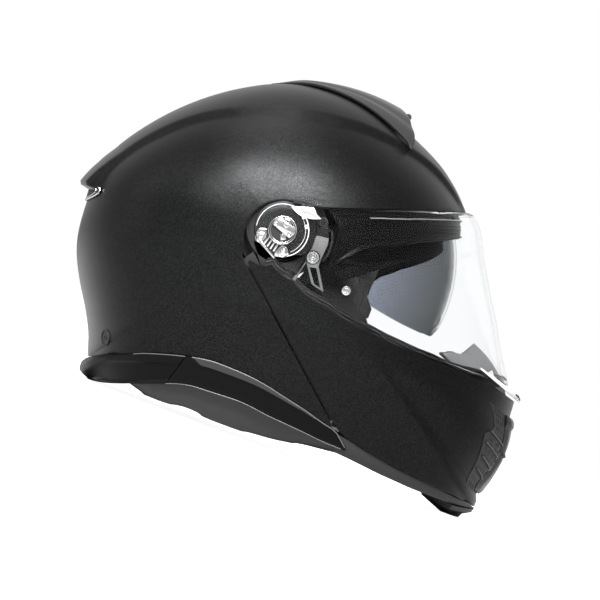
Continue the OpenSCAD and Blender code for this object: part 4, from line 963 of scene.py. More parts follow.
# Foam
BROW_EDGE_SHARES = [(-24, 0.654), (-9.5, 0.687), (-4.4, 0.722), (2.6, 0.83), (9.8, 1.01), (13.5, 1.09)]
BROW_OUT_SHARES = [(-14, 1.15), (0, 1.12), (13.5, 1.09), (26.7, 1.073)]


def brow_foam_face(a, t):
    return place(*oval(R * look(BROW_OUT_SHARES, a), SUN_W - 0.002, SUN_POWER, t), a)


def brow_foam():
    rows = []
    for a in steps([-14, -9.5, -4.4, 2.6, 9.8, 13.4, 13.6, 26.7], 1.2):
        r = R * look(BROW_OUT_SHARES, a)
        first = 0.0 if a > 13.5 else t_of(R * look(BROW_EDGE_SHARES, a), r, SUN_POWER)
        rows.append((a, first, t_of(R * 0.30, r, SUN_POWER)))
    piece("brow_foam_block", half_patch(brow_foam_face, rows, 36), "shell", BEADS, "foam", "brow_foam", wall=0.008,
        soften=0.002)


def crown_foam():
    rows = []
    for a in steps([27, 45, 73, 79, 217, 228, 250], 4):
        r, n = shell_oval(a)
        first = 0.0 if a <= 228 else t_of(R * hem_reach(a) * 0.98, r, n) + (a - 228) * 0.1
        rows.append((a, first, t_of(RECESS_R + 0.0105, r, n)))
    piece("crown_foam_block", thick_patch(foam_out_face, foam_in_face, rows, 24), "shell", BEADS, "foam",
        "crown_foam", soften=0.002)


# Cushions
LAST_FRAME = 20
PAD_SWELL = 0.007
SEAM_W, SEAM_DEPTH = 0.0022, 0.0012
soft_pieces = []


def cushion(name, bm, body, finish, fill, *stands_for, cap=0.005, channels=()):
    """A closed form that is swollen under pressure once all of them are made"""
    obj = piece(name, bm, body, finish, "lining", *stands_for, sharp=0)
    soft_pieces.append((obj, cap, channels, fill))
    return obj


def swell_cushions():
    scene = bpy.context.scene
    scene.frame_set(1)
    starts = {}
    for obj, cap, channels, fill in soft_pieces:
        modifier(obj, "even", "REMESH", mode="VOXEL", voxel_size=0.005)
        settled(obj)
        starts[obj.name] = [v.co.copy() for v in obj.data.vertices]
        m = modifier(obj, "swell", "CLOTH")
        m.settings.quality = 5
        m.settings.mass = 0.25
        m.settings.use_pressure = True
        m.settings.uniform_pressure_force = 4
        m.settings.effector_weights.gravity = 0
        m.collision_settings.use_collision = False
        m.collision_settings.use_self_collision = False
    for frame in range(1, LAST_FRAME + 1):
        scene.frame_set(frame)
    for obj, cap, channels, fill in soft_pieces:
        settled(obj)
        for v, start in zip(obj.data.vertices, starts[obj.name]):
            move = v.co - start
            if move.length > cap:
                v.co = start + move * (cap / move.length)
    scene.frame_set(1)
    for obj, cap, channels, fill in soft_pieces:
        modifier(obj, "smooth", "SUBSURF", levels=1, render_levels=1)
        settled(obj)
        normals = [v.normal.copy() for v in obj.data.vertices]
        for v, n in zip(obj.data.vertices, normals):
            for distance, depth, width in channels:
                v.co -= n * depth * hill(distance(v.co), 0, width)
        obj.data.polygons.foreach_set("use_smooth", [True] * len(obj.data.polygons))


def pad_form(first, last, edge, step, cols, gap, rise):
    """A pad on the foam between two angles, thickest in its middle"""
    def deep(a, t):
        u, v = (2 * a - first - last) / (last - first), t / edge
        return inset(foam_in_face, gap + rise * (0.3 + 0.7 * (1 - u**4) * (1 - v**4)))(a, t)
    rows = [(a, 0.0, edge) for a in steps([first, last], step)]
    return thick_patch(inset(foam_in_face, gap), deep, rows, cols)


def seam_at(distance):
    return distance, SEAM_DEPTH, SEAM_W


def crown_pad():
    cushion("crown_cushion", pad_form(34, 205, 62, 5, 16, PAD_GAP, PAD_SWELL), "shell", LINING, 0.5, "crown_pad",
        cap=0.0015, channels=(seam_at(lambda p: abs(p.y) - 0.022), seam_at(lambda p: p.x - PIVOT_X - 0.02)))


def neck_roll():
    cushion("neck_cushion", pad_form(214, 247, 52, 3, 20, 1.4 * PAD_GAP, 1.6 * PAD_SWELL), "shell", LINING, 0.6,
        "neck_roll", cap=0.002, channels=(seam_at(lambda p: abs(p.y) - 0.030),))


CHEEK_MID = (0.28, -0.78)


def cheek_pads():
    """Comfort pads with their backs on the cheek foams"""
    mid_x, mid_z = at(CHEEK_MID)
    base, swell = CHEEK_IN - SEAT, 0.011
    rings = [0.12, 0.3, 0.5, 0.68, 0.82, 0.92, 0.98, 1.0]
    angles = [10 * i for i in range(37)]
    def spot(a, k, y):
        d = R * look(CHEEK_REACH_SHARES, a) * k
        return Vector((mid_x + d * cosine(a), -y, mid_z + d * sine(a)))
    rows = [[spot(a, k * 0.94, base) for a in angles] for k in rings]
    rows += [[spot(a, k, CHEEK_GAP + swell * k**3) for a in angles] for k in reversed(rings)]
    bm = grid_of(len(rows) - 1, len(angles) - 1)
    for v in bm.verts:
        v.co = rows[round(v.co.x * (len(rows) - 1))][round(v.co.y * (len(angles) - 1))]
    ring = lambda p: math.hypot(p.x - mid_x, p.z - mid_z) - 0.036
    for name, form in right_and_left(closed(bm)):
        cushion(f"cheek_cushion_{name}", form, "shell", LINING, 0.7, f"cheek_pad_{name}", cap=0.003,
            channels=((ring, 0.0014, 0.0020),))


# Soft edge of the cheek lining, that bulges out under the lower trims
SKIRT_LOW_SHARES = [(243.9, 1.477), (254.4, 1.407), (262.9, 1.351), (273.8, 1.356), (283.9, 1.382), (295.2, 1.431),
    (302.8, 1.507), (307.8, 1.578)]


def skirts():
    deep = 0.020
    def section(a):
        rim = R * look(RIM_SHARES, a) - 0.012
        low = R * look(SKIRT_LOW_SHARES, a)
        r, n = trim_oval(a)
        y = wide(min(rim, r * 0.98), r, CHIN_W, n) - 0.010
        y = mix(y - 0.004, y, ease((a - 244) / 5) * ease((310.5 - a) / 5))
        return [place(rho, -y + fall, a) for rho, fall in ((rim, 0), (mix(rim, low, 0.35), 0.0005),
            (mix(rim, low, 0.7), 0.004), (low - 0.001, 0.010), (low, 0.015), (low - 0.002, deep),
            (mix(rim, low, 0.5), deep + 0.003), (rim, deep))]
    lines = [section(a) for a in steps([244.5, 250, 262, 280, 300, 309.5], 2)]
    for name, form in right_and_left(loft(list(zip(*lines)))):
        cushion(f"lower_skirt_{name}", form, "shell", SKIRT, 0.6, cap=0.002)


# Dark housings of the sun visor's ends, behind the temples of the eye port
POD_SHARES = [(0.30, -0.17), (0.388, -0.129), (0.541, -0.114), (0.672, -0.117), (0.664, -0.147), (0.676, -0.206),
    (0.706, -0.245), (0.735, -0.278), (0.735, -0.345), (0.60, -0.40), (0.42, -0.38), (0.30, -0.30)]


def sun_pods():
    y = SUN_W + 0.0085
    piece("sun_visor_pod", both_sides(slab(POD_SHARES, y, y + 0.004)), "shell", MOULDED, "black_trim", soften=0.0008)
    ribs = [bar((0.595, -0.118), (0.612, -0.318), 0.0008, y + 0.0035, y + 0.0048),
        bar((0.640, -0.118), (0.672, -0.330), 0.0008, y + 0.0035, y + 0.0048)]
    pair("sun_visor_pod_ribs", ribs, "shell", SATIN, "black_trim", soften=0.0002)


# Sun visor
def sun_low(t):
    return -13 - 8 * (abs(t) / 75) ** 2 + 5 * max(0.0, 1 - (abs(t) / 14) ** 2)


def sun_high(t):
    return 36 - 18 * (abs(t) / 75) ** 3


def sun_face(s, t):
    rho, y = oval(SUN_R, SUN_OVAL_W, SUN_POWER, t)
    a = mix(sun_low(t), sun_high(t), s / 100)
    return Vector((SUN_X + rho * cosine(a), y, SUN_Z + rho * sine(a)))


def sun_visor():
    last = t_at(SUN_W, SUN_OVAL_W, SUN_POWER)
    rows = [(s, 0.0, last) for s in steps([0, 100], 4)]
    piece("sun_visor_lens", half_patch(sun_face, rows, 48), "sun_visor", SMOKE, "smoke_lens", "sun_visor",
        wall=0.002, soften=0.0006)


# Breath deflector
GUARD_TOP_SHARES = [(0, 1.472), (0.15, 1.453), (0.3, 1.431), (0.45, 1.408), (0.7, 1.355), (1, 1.285)]
GUARD_HIGH_SHARES = [(0, -0.248), (0.15, -0.285), (0.3, -0.325), (0.45, -0.345), (0.7, -0.357), (1, -0.383)]


def deflector():
    def spot(u, k):
        base = chin_point(u * 0.052, -0.56 * R, CHIN_WALL + 2 * SEAT)
        x, z = at((look(GUARD_TOP_SHARES, abs(u)), look(GUARD_HIGH_SHARES, abs(u))))
        top = Vector((x, u * mix(0.052, 0.044, abs(u)), z))
        swell = 0.004 * math.sin(math.pi * k) * (1 - abs(u))
        return base + (top - base) * k + Vector((swell, 0, swell))
    bm = grid_of(48, 14)
    for v in bm.verts:
        v.co = spot(mix(-1, 1, v.co.x), v.co.y)
    piece("nose_guard", facing(bm), "chin_bar", SOFT_GREY, "rubber", "breath_deflector", wall=0.002,
        soften=0.0006, subdivide=1)


# Gasket along the chin bar's upper edge, under the visor
def gasket():
    """A band with two ridges, down from the bar's edge and straight across its front"""
    corner, height = -15.7, 0.0062
    front = -R * look(CHIN_TOP_SHARES, corner) * sine(corner)
    def edge_and_slope(a):
        return R * look(CHIN_TOP_SHARES, a) if a < corner else front / -sine(a), max(0.2, -sine(a))
    rows = []
    for a in steps([-97, -60, -37, -25, -18, corner, -14, -12.9], 1.4):
        r, n = chin_oval(a)
        edge, slope = edge_and_slope(a)
        low = max(0.016, edge - height * (1 / slope))
        rows.append((a, t_of(min(r, edge + 0.003 * (1 / slope)), r, n), t_of(low, r, n)))
    def face(a, t):
        r, n = chin_oval(a)
        edge, slope = edge_and_slope(a)
        k = (edge - oval(r, CHIN_W, n, t)[0]) * slope / height
        ridge = 0.0008 * (hill(k, 0.92, 0.10) + hill(k, 0.45, 0.06))
        depth = CHIN_WALL + 0.0008 + 0.0100 * abs(cosine(t)) ** 1.5
        return chin_base(a, t) - (depth - ridge) * outward(chin_base, a, t)
    piece("chin_gasket", half_patch(face, rows, 16), "chin_bar", RUBBER, "rubber", "visor_seal", wall=0.0018)


# Chin vent: a smooth cover in front of a sunken mesh
COVER_EDGE_T = [(-33.5, 11), (-31.6, 12.5), (-28.4, 10.1), (-24.7, 8.3), (-20.4, 11.6), (-18.6, 13)]
MESH_EDGE_T = [(-33.8, 19.5), (-29.2, 21.5), (-24.5, 24.5), (-22.3, 20), (-20.5, 22), (-18.6, 27)]


def chin_vent():
    rows = [(a, 0.0, look(COVER_EDGE_T, a)) for a in steps([-32.9, -31.6, -28, -24, -20.4, -18.9], 0.6)]
    def cover(a, t):
        edge = look(COVER_EDGE_T, a)
        up = 0.0022 * (1 - hill(abs(t), edge, 1.6)) * ease((a + 33.2) / 1.2) * ease((-18.7 - a) / 1.0)
        step = 0.0012 * ease((a + 20.9) / 0.3)
        return inset(chin_base, -0.0010 - up - step)(a, t)
    piece("chin_vent_cover", half_patch(cover, rows, 16), "chin_bar", SATIN, "black_trim", "chin_vent_frame",
        wall=0.002, soften=0.0004)
    rows = [(a, look(COVER_EDGE_T, a) - 0.4, look(MESH_EDGE_T, a)) for a in steps([-33.2, -28, -24, -20, -18.9], 0.45)]
    def weave(a, t):
        cell = math.sin(math.radians((a + 33.2) * 240)) * math.sin(math.radians(abs(t) * 190))
        edge = min(abs(t) - look(COVER_EDGE_T, a), look(MESH_EDGE_T, a) - abs(t))
        return inset(chin_base, -0.0004 - 0.0005 * cell * ease(edge / 2))(a, t)
    piece("chin_vent_net", half_patch(weave, rows, 20), "chin_bar", MESH, "black_trim", "chin_vent_mesh", wall=0.0008)
    ribs = []
    for a in (-30.6, -28.4, -26.0, -23.8):
        near, far = look(COVER_EDGE_T, a), look(MESH_EDGE_T, a) - 1.5
        p, q = (inset(chin_base, -0.0016)(a + s, t) for s, t in ((0, near + 0.6), (0.5, far)))
        ribs.append(tube([p, (p + q) / 2 + Vector((0.0005, 0, 0)), q], 0.0006))
    pair("chin_vent_ribs", ribs, "chin_bar", SATIN, "black_trim")
    lip = [inset(chin_base, -0.0034)(a, t) for a, t in ((-25.2, 0.0), (-25.2, 3.5), (-25.0, 6.5))]
    piece("chin_vent_switch", both_sides(tube(lip, 0.0011)), "chin_vent_slider", RUBBER, "rubber",
        "chin_vent_slider")


def tube(points, r, segments=8):
    """A round bar through points"""
    lines = []
    for k in range(segments):
        turn = 360 * k / segments
        line = []
        for i, p in enumerate(points):
            d = (points[min(i + 1, len(points) - 1)] - points[max(i - 1, 0)]).normalized()
            across = d.cross(Vector((0, 0, 1)) if abs(d.z) < 0.9 else Vector((1, 0, 0))).normalized()
            line.append(p + r * (cosine(turn) * across + sine(turn) * d.cross(across)))
        lines.append(line)
    return loft(lines)


# Band of trim along the chin bar's lower edge, and the spoiler under its front
def chin_underside():
    us = [math.copysign((abs(i) / 22) ** 0.85, i) for i in range(-22, 23)]
    def line(table, depth, drop=0.0):
        far = 0.850 if table is TRIM_HIGH_SHARES else 0.806
        return [chin_point(u * far * HALF_W, R * look(table, abs(u * far)) - drop, depth) for u in us]
    bm = loft([line(TRIM_HIGH_SHARES, 0.0008, -0.0004), line(TRIM_LOW_SHARES, 0.0002, -0.0016),
        line(TRIM_LOW_SHARES, 0.0012), line(TRIM_LOW_SHARES, TRIM_WALL + 0.0008),
        line(TRIM_HIGH_SHARES, TRIM_WALL + 0.0008, -0.0004)])
    piece("chin_trim_band", bm, "chin_bar", GREY_TRIM, "black_trim", "chin_trim", soften=0.0003)
    top, foot = R * TRIM_LOW_SHARES[0][1] - SEAT, -PIVOT_Z + 0.0006
    us = [i / 14 for i in range(-14, 15)]
    front = [chin_point(u * 0.042, top + R * 0.030 * (1 - abs(u)), -0.0008) for u in us]
    lines = [front, [p + Vector((-0.0010, 0, -0.0034)) for p in front],
        [Vector((PIVOT_X + R * (1.800 - 0.05 * u * u), u * 0.024, PIVOT_Z + foot + R * 0.030)) for u in us],
        [Vector((PIVOT_X + R * (1.785 - 0.05 * u * u), u * 0.022, PIVOT_Z + foot)) for u in us],
        [Vector((PIVOT_X + R * (1.680 - 0.03 * u * u), u * 0.022, PIVOT_Z + foot)) for u in us],
        [Vector((p.x - R * (0.30 - 0.06 * abs(u)), p.y, PIVOT_Z + top)) for u, p in zip(us, front)]]
    piece("chin_spoiler_wing", loft(lines), "chin_bar", GREY_TRIM, "black_trim", "chin_spoiler", soften=0.0004,
        sharp=18)


# Rear outlet under the spoiler: a net in a bright frame
OUTLET_T = [(186.9, 21.5), (188.0, 22.4), (189.0, 22.0), (190.3, 17), (191.3, 8)]
OUTLET_EDGE = [(0, 191.4), (8, 191.3), (13, 190.9), (17, 190.3), (20, 189.6), (22, 188.9), (22.6, 188.1),
    (22.3, 187.4), (18, 187.0), (9, 186.6), (0, 186.5)]


def rear_outlet():
    def face(a, t):
        rho, y = oval(R * curve(SHELL_SHARES, a), shell_width(a), look(SHELL_POWER, a), t)
        return place(rho, y, a)
    rows = [(a, 0.0, look(OUTLET_T, a)) for a in steps([187.2, 189, 191.2], 0.16)]
    def net(a, t):
        return inset(face, -0.0009 - 0.0006 * math.sin(math.radians(a * 520)) * math.sin(math.radians(t * 130)))(a, t)
    piece("outlet_net", half_patch(net, rows, 48), "shell", MESH, "black_trim", "exhaust_grille", wall=0.0006)
    lines = []
    for share, lift, radius in ((1, 0.0012, 0.0007), (0.84, 0.0014, 0.0004)):
        loop = [inset(face, -lift)(189.0 + (a - 189.0) * share, t * share) for t, a in OUTLET_EDGE]
        lines.append(tube(loop, radius))
    pair("outlet_frame", lines, "shell", METAL, "metal")


def port_plugs():
    a, t = 231.6, 28.2
    centre, out = shell_face(a, t), outward(shell_face, a, t)
    turn = out.to_track_quat("Y", "Z").to_matrix()
    plug = together(washer(0, 0, -0.001, 0.0006, 0.0060, 0.0052, 40), disc(0, 0, -0.001, 0.0001, 0.0050, segments=40),
        washer(0, 0, 0.0, 0.0005, 0.0022, 0.0014, 24))
    bmesh.ops.transform(plug, matrix=turn.to_4x4(), verts=plug.verts)
    bmesh.ops.translate(plug, vec=centre, verts=plug.verts)
    piece("port_plug_cap", both_sides(plug), "shell", RUBBER, "rubber", "port_plug_right", "port_plug_left")


# Side mechanism, made on the left and mirrored to the right
LINK_SHARES = [(0.221, 0.047), (0.304, 0.056), (0.314, 0.01), (0.302, -0.104), (0.307, -0.14), (0.388, -0.272),
    (0.372, -0.277), (0.296, -0.155), (0.252, -0.165), (0.322, -0.262), (0.302, -0.262), (0.232, -0.158),
    (0.218, -0.125), (0.214, -0.085), (0.222, -0.05)]
LINK_SCREW = (0.251, -0.098)
PLATE_SHARES = [(-0.155, -0.072), (-0.150, -0.045), (-0.135, -0.036), (-0.097, -0.029), (-0.073, -0.050),
    (-0.053, -0.013), (0.022, -0.021), (0.040, -0.050), (0.040, -0.086), (0.075, -0.104), (0.080, -0.145),
    (0.052, -0.170), (0.007, -0.182), (-0.065, -0.150), (-0.126, -0.120)]
EAR_PLATE_SHARES = [(-0.158, -0.072), (-0.152, -0.044), (-0.135, -0.032), (-0.097, -0.026), (-0.086, -0.060),
    (-0.092, -0.104), (-0.128, -0.122)]
TAIL_PLATE_SHARES = [(0.026, -0.096), (0.040, -0.084), (0.070, -0.098), (0.086, -0.128), (0.080, -0.150),
    (0.048, -0.170), (0.010, -0.180), (0.002, -0.150)]
TONGUE_SHARES = [(-0.16, -0.13), (-0.030, -0.300), (0.014, -0.325), (0.130, -0.330), (0.172, -0.300), (0.205, -0.11)]
EAR_SHARES = [(-0.117, -0.094), (0.050, -0.132)]
RIB_SHARES = [((-0.083, -0.128), (-0.056, -0.030)), ((-0.058, -0.137), (-0.033, -0.027)),
    ((-0.033, -0.145), (-0.010, -0.026)), ((-0.008, -0.152), (0.013, -0.036))]
BRIDGE_SHARES = [(-0.075, 0.052), (-0.050, 0.075), (0.078, 0.042), (0.086, 0.010), (0.060, -0.035), (-0.046, 0.004)]


def screw_head(p, y, r):
    """A screw with a driver slot"""
    x, z = at(p)
    return [washer(x, z, y, y + 0.0010, r, r * 0.62, 32), disc(x, z, y - 0.0004, y + 0.0004, r * 0.62, segments=32),
        bar((p[0] - r * 0.55 / R, p[1]), (p[0] + r * 0.55 / R, p[1]), r * 0.3, y + 0.0004, y + 0.0009)]


def visor_hub():
    """The visor's clear ring, and the metal hub that shows through it"""
    x, z = PIVOT_X, PIVOT_Z
    top = RING_Y + RING_T
    glass = washer(x, z, RING_Y + 0.0018, RING_Y + 0.0028, RING_R - 0.0010, 0.0104, 72, -58, 250)
    pair("visor_ring_glass", [glass], "visor", CLEAR, "clear_lens", "visor_ring_right", "visor_ring_left")
    arcs = [washer(x, z, RING_Y + low, top - fall, RING_R - outer, RING_R - inner, count, start, sweep)
        for low, fall, outer, inner, count, start, sweep in ((0.0012, 0, 0, 0.0006, 72, -60, 120),
            (0.0012, 0.0008, 0, 0.0004, 72, 60, 130), (0.0012, 0.0008, 0.0024, 0.0027, 72, -50, 95),
            (0, 0, 0.0002, 0.0030, 12, 24, 9), (0, 0, 0.0002, 0.0026, 12, 48, 7))]
    arrow = [bar((0.066, -0.150), p, 0.0007, RING_Y, top - 0.001) for p in ((0.050, -0.108), (0.092, -0.132))]
    # Whitish clear arcs and arrow on the ring: painted highlights of its edges
    pair("visor_ring_rim", arcs + arrow, "visor", CLEAR_RIM_PAINTED_HIGHLIGHT, "clear_lens", soften=0.00012)
    sx, sz = at((0.010, 0.050))
    square = washer(sx, sz, top - 0.0004, top + 0.0014, 0.0038, 0.0028, 4)
    bmesh.ops.rotate(square, verts=square.verts, cent=(sx, 0, sz), matrix=Matrix.Rotation(math.radians(-12), 3, "Y"))
    hub = [washer(x, z, RING_Y, top + 0.0014, 0.0102, 0.0096, 56),
        washer(x, z, RING_Y, top + 0.0004, 0.0090, 0.0085, 56),
        slab(BRIDGE_SHARES, top - 0.0010, top + 0.0006), square,
        slab([(-0.066, 0.034), (-0.052, 0.058), (-0.022, 0.070), (-0.012, 0.030)], top - 0.001, top + 0.0002),
        slab([(0.026, -0.010), (0.044, -0.050), (0.012, -0.068), (-0.004, -0.030)], top - 0.001, top + 0.0002),
        *screw_head((-0.058, 0.022), top - 0.0002, 0.0016), *screw_head((0.052, -0.010), top + 0.0005, 0.0016)]
    pair("visor_hub", hub, "visor", METAL, "metal", soften=0.00015)
    floor = [disc(x, z, RING_Y, top - 0.0012, 0.0099, segments=56), disc(sx, sz, top, top + 0.0003, 0.0028, segments=4)]
    pair("hub_well", floor, "visor", MOULDED, "black_trim")


def base_plate():
    """The ribbed plate with its two screws, and the pivot cover behind it"""
    y = BASE_Y + 0.0016
    back = slab(PLATE_SHARES, BASE_Y - 0.0004, y - 0.0012)
    piece("base_plate_back", both_sides(back), "chin_bar", MOULDED, "black_trim")
    plate = [slab(EAR_PLATE_SHARES, y - 0.0012, y), slab(TAIL_PLATE_SHARES, y - 0.0012, y),
        bar((-0.137, -0.108), (0.014, -0.190), 0.0016, BASE_Y, y + 0.0008)]
    plate += [bar(p, q, 0.0014, y - 0.0014, y + 0.0010) for p, q in RIB_SHARES]
    for p in EAR_SHARES:
        ex, ez = at(p)
        plate += [washer(ex, ez, y - 0.0006, y + 0.0006, 0.0040, 0.0034, 32), *screw_head(p, y, 0.0026)]
    pair("base_plate_casting", plate, "chin_bar", METAL, "metal", "base_plate_right", "base_plate_left",
        "base_screws", soften=0.0002)
    cover = [disc(HINGE_X, HINGE_Z, COVER_Y - 0.0030, COVER_Y - 0.0008, 0.0262, 0.0256, 72),
        disc(HINGE_X, HINGE_Z, COVER_Y - 0.0010, BASE_Y - 0.0002, 0.0196, 0.0190, 72),
        slab(TONGUE_SHARES, COVER_Y - 0.0030, COVER_Y - 0.0008),
        washer(HINGE_X, HINGE_Z, COVER_Y - 0.0010, COVER_Y - 0.0002, 0.0250, 0.0243, 72, 150, 90)]
    pair("pivot_cover_cap", cover, "chin_bar", MOULDED, "black_trim", "pivot_cover_right", "pivot_cover_left",
        soften=0.0003)


def hinge_link():
    """The pressed link with its screw, and the moulded rail in front of it"""
    y = HALF_W - 0.0023
    link = [slab(LINK_SHARES, y, y + 0.0008)]
    link += [bar(p, q, width, y - under, y + over) for p, q, width, under, over in (
        ((0.219, -0.140), (0.186, -0.272), 0.0009, 0.001, 0.0006),
        ((0.192, -0.250), (0.184, -0.280), 0.0022, 0.001, 0.0010),
        ((0.226, 0.040), (0.306, 0.050), 0.0010, 0, 0.0012), ((0.312, -0.262), (0.392, -0.280), 0.0011, 0, 0.0009))]
    sx, sz = at(LINK_SCREW)
    groove = disc(sx, sz, y, y + 0.00095, 0.0052, segments=40)
    piece("link_groove", both_sides(groove), "chin_bar", MOULDED, "black_trim")
    screw = [washer(sx, sz, y + 0.0007, y + 0.0015, 0.0043, 0.0030, 40), *screw_head(LINK_SCREW, y + 0.0008, 0.0027)]
    pair("link_screw", screw, "chin_bar", METAL, "metal", soften=0.0001)
    pair("link_arm", link, "chin_bar", DULL_METAL, "metal", "hinge_link_right", "hinge_link_left", soften=0.0002)
    low = y - 0.0002
    rail = [bar(p, q, 0.0014, low - 0.0006, low + over) for p, q, over in (
        ((0.312, 0.105), (0.333, 0.045), 0.0002), ((0.333, 0.047), (0.340, -0.02), 0.0002),
        ((0.340, -0.018), (0.318, -0.10), 0.0002), ((0.258, 0.112), (0.314, 0.106), 0))]
    knob_x, knob_z = at((0.232, 0.140))
    rail += [disc(knob_x, knob_z, low - 0.0006, low + 0.0004, 0.0040, 0.0034, 28),
        washer(knob_x, knob_z, low, low + 0.0008, 0.0030, 0.0022, 28)]
    pair("link_rail", rail, "chin_bar", MOULDED, "black_trim", soften=0.0003)


def lens_pins():
    pin = (0.533, -0.226)
    px, pz = at(pin)
    rho, a = math.hypot(*pin) * R, math.degrees(math.atan2(pin[1], pin[0]))
    y = wide(rho + 0.0036, R * curve(VISOR_SHARES, a), VISOR_W, VISOR_POWER) - VISOR_T * 1.2 - SEAT
    pins = [disc(px, pz, y - 0.003, y, 0.0036, 0.0032, 40), washer(px, pz, y - 0.0004, y + 0.0003, 0.0020, 0.0012, 32)]
    pair("lens_pin_heads", pins, "visor", METAL, "metal", "lens_pins", soften=0.0003)


# Clear rim with the lift tab, along the visor's lower front edge, whitened so that its edges show painted highlights
def visor_tab():
    def spot(t, out, drop):
        k = max(0.0, 1 - (abs(t) / 30) ** 2)
        p = visor_face(-13.9, t)
        return p + Vector((R * 0.108 * k * out, 0, -R * 0.052 * k * out - 0.0004 - drop * mix(0.0008, 0.0016, k)))
    ts = [30 * i / 24 for i in range(-24, 25)]
    rim = loft([[spot(t, o, d) for t in ts] for o, d in ((0, 0), (0.5, -0.5), (1, 0), (1.02, 1.2), (0.5, 1.2), (0, 1))])
    piece("visor_tab_rim", rim, "visor", CLEAR_RIM_PAINTED_HIGHLIGHT, "clear_lens", "lift_tab", soften=0.0002)
    grip = together(*[tube([spot(t, 0.80, -0.7), spot(t, 1.01, 0.3)], 0.0005) for t in range(-8, 9, 2)])
    piece("visor_tab_grip", grip, "visor", MOULDED, "black_trim")


# Clear corner of the visor above its ring, and under it a white mirror patch that paints a highlight on the clear visor
CORNER_SHARES = [(-0.030, 0.186), (-0.022, 0.218), (-0.004, 0.238), (0.040, 0.252), (0.110, 0.268), (0.150, 0.268),
    (0.195, 0.248), (0.150, 0.236), (0.060, 0.214)]
HIGHLIGHT_PATCH_SHARES = [(-0.006, 0.166), (0.060, 0.186), (0.140, 0.212), (0.180, 0.176), (0.216, 0.160), (0.160, 0.138),
    (0.096, 0.128), (0.050, 0.138)]


def visor_corner():
    y = HALF_W + 0.0012
    corner = both_sides(slab(CORNER_SHARES, y, y + 0.0014))
    piece("visor_corner", corner, "visor", CLEAR, "clear_lens", soften=0.0003)
    highlight_patch = both_sides(slab(HIGHLIGHT_PATCH_SHARES, y - 0.0008, y + 0.0008))
    piece("visor_highlight_patch", highlight_patch, "visor", GLINT, "clear_lens", soften=0.0004)


# Top vent
VENT_TAIL = 115
VENT_HALF_W = 0.05


def vent_spot(s, v):
    front = 67.5 - 14.5 * abs(v) ** 1.3
    a = mix(front, VENT_TAIL, s)
    y = v * mix(VENT_HALF_W, VENT_HALF_W * 0.08, s**1.3)
    r, n = shell_oval(a)
    rho = (r + band_rise(a, y)) * (1 - (abs(y) / HALF_W) ** n) ** (1 / n)
    up = 0.0078 * (1 - s) ** 1.5 * (1 - abs(v) ** 3) + 0.0024 * ease((1 - s) / 0.3) + SEAT
    groove = 0.0010 * hill(abs(v), 0.62, 0.10) * ease((1 - s) / 0.4)
    return place(rho + up - groove, y, a)


def top_vent():
    bm = grid_of(60, 48)
    for v in bm.verts:
        v.co = vent_spot(v.co.x, mix(-1, 1, v.co.y))
    piece("top_vent_swoosh", facing(bm), "shell", SATIN, "black_trim", "top_vent_cover",
        wall=0.002, soften=0.0004)
    ys = [0.016 * i / 8 for i in range(-8, 9)]
    hook = tube([place(R * 1.148 - 0.002 * (y / 0.016) ** 2, y, 63.1) for y in ys], 0.0025, 16)
    stem = loft([[place(R * rho, y, a) for y in ys]
        for rho, a in ((1.112, 68.0), (1.132, 68.0), (1.146, 64.0), (1.128, 63.6))])
    piece("top_vent_lip", together(hook, stem), "shell", RUBBER, "black_trim", soften=0.0003)


# Chin strap of woven webbing, and the cloth curtain under the chin
STRAP_X = PIVOT_X + R * 0.05
STRAP_W, STRAP_T = 0.022, 0.0014
STRAP_PATH = [(CHEEK_GAP * y, PIVOT_Z + R * z) for y, z in ((1.34, -0.13), (1.13, -0.26), (1.025, -0.42),
    (0.965, -0.62), (0.955, -0.85), (0.93, -1.02), (0.76, -1.15))] + [(0.023, PIVOT_Z - R * 1.20)]


def strap_spots(count):
    """Points down one strap with the direction across its thickness"""
    ys, zs = ([(k, q[i]) for k, q in enumerate(STRAP_PATH)] for i in (0, 1))
    line = [(curve(ys, 7 * k / count), curve(zs, 7 * k / count)) for k in range(count + 1)]
    spots = []
    for k, (y, z) in enumerate(line):
        p, q = line[max(k - 1, 0)], line[min(k + 1, count)]
        d = math.hypot(q[0] - p[0], q[1] - p[1])
        spots.append((y, z, (p[1] - q[1]) / d, (q[0] - p[0]) / d))
    return spots


def straps():
    spots = strap_spots(70)
    for name, sign in (("right", -1), ("left", 1)):
        def spot(x, lift, k):
            y, z, ny, nz = spots[k]
            return Vector((STRAP_X + x, sign * (y + lift * ny), z + lift * nz))
        ribs = [(STRAP_W * (i / 16 - 0.5), STRAP_T / 2 + (0.00018 if i % 2 else 0)) for i in range(17)]
        outline = ribs + [(x, -lift) for x, lift in reversed(ribs)]
        band = loft([[spot(x, lift, k) for k in range(len(spots))] for x, lift in outline])
        obj = piece(f"strap_webbing_{name}", band, "shell", WEBBING, "webbing", f"strap_{name}", sharp=60)
        seams = []
        for first in (2, 56):
            for x in (-0.008, 0.008):
                seams += [tube([spot(x, 0.0010, k), spot(x, 0.0010, k + 1)], 0.0003, 6)
                    for k in range(first, first + 12, 2)]
            for k in (first, first + 11):
                seams += [tube([spot(0.0016 * i, 0.0010, k), spot(0.0016 * i + 0.001, 0.0010, k)], 0.0003, 6)
                    for i in range(-5, 5)]
        stitches = piece(f"strap_stitches_{name}", together(*seams), "shell", THREAD, "webbing")


CURTAIN_HALF_W = 0.070
CURTAIN_T = 0.0012


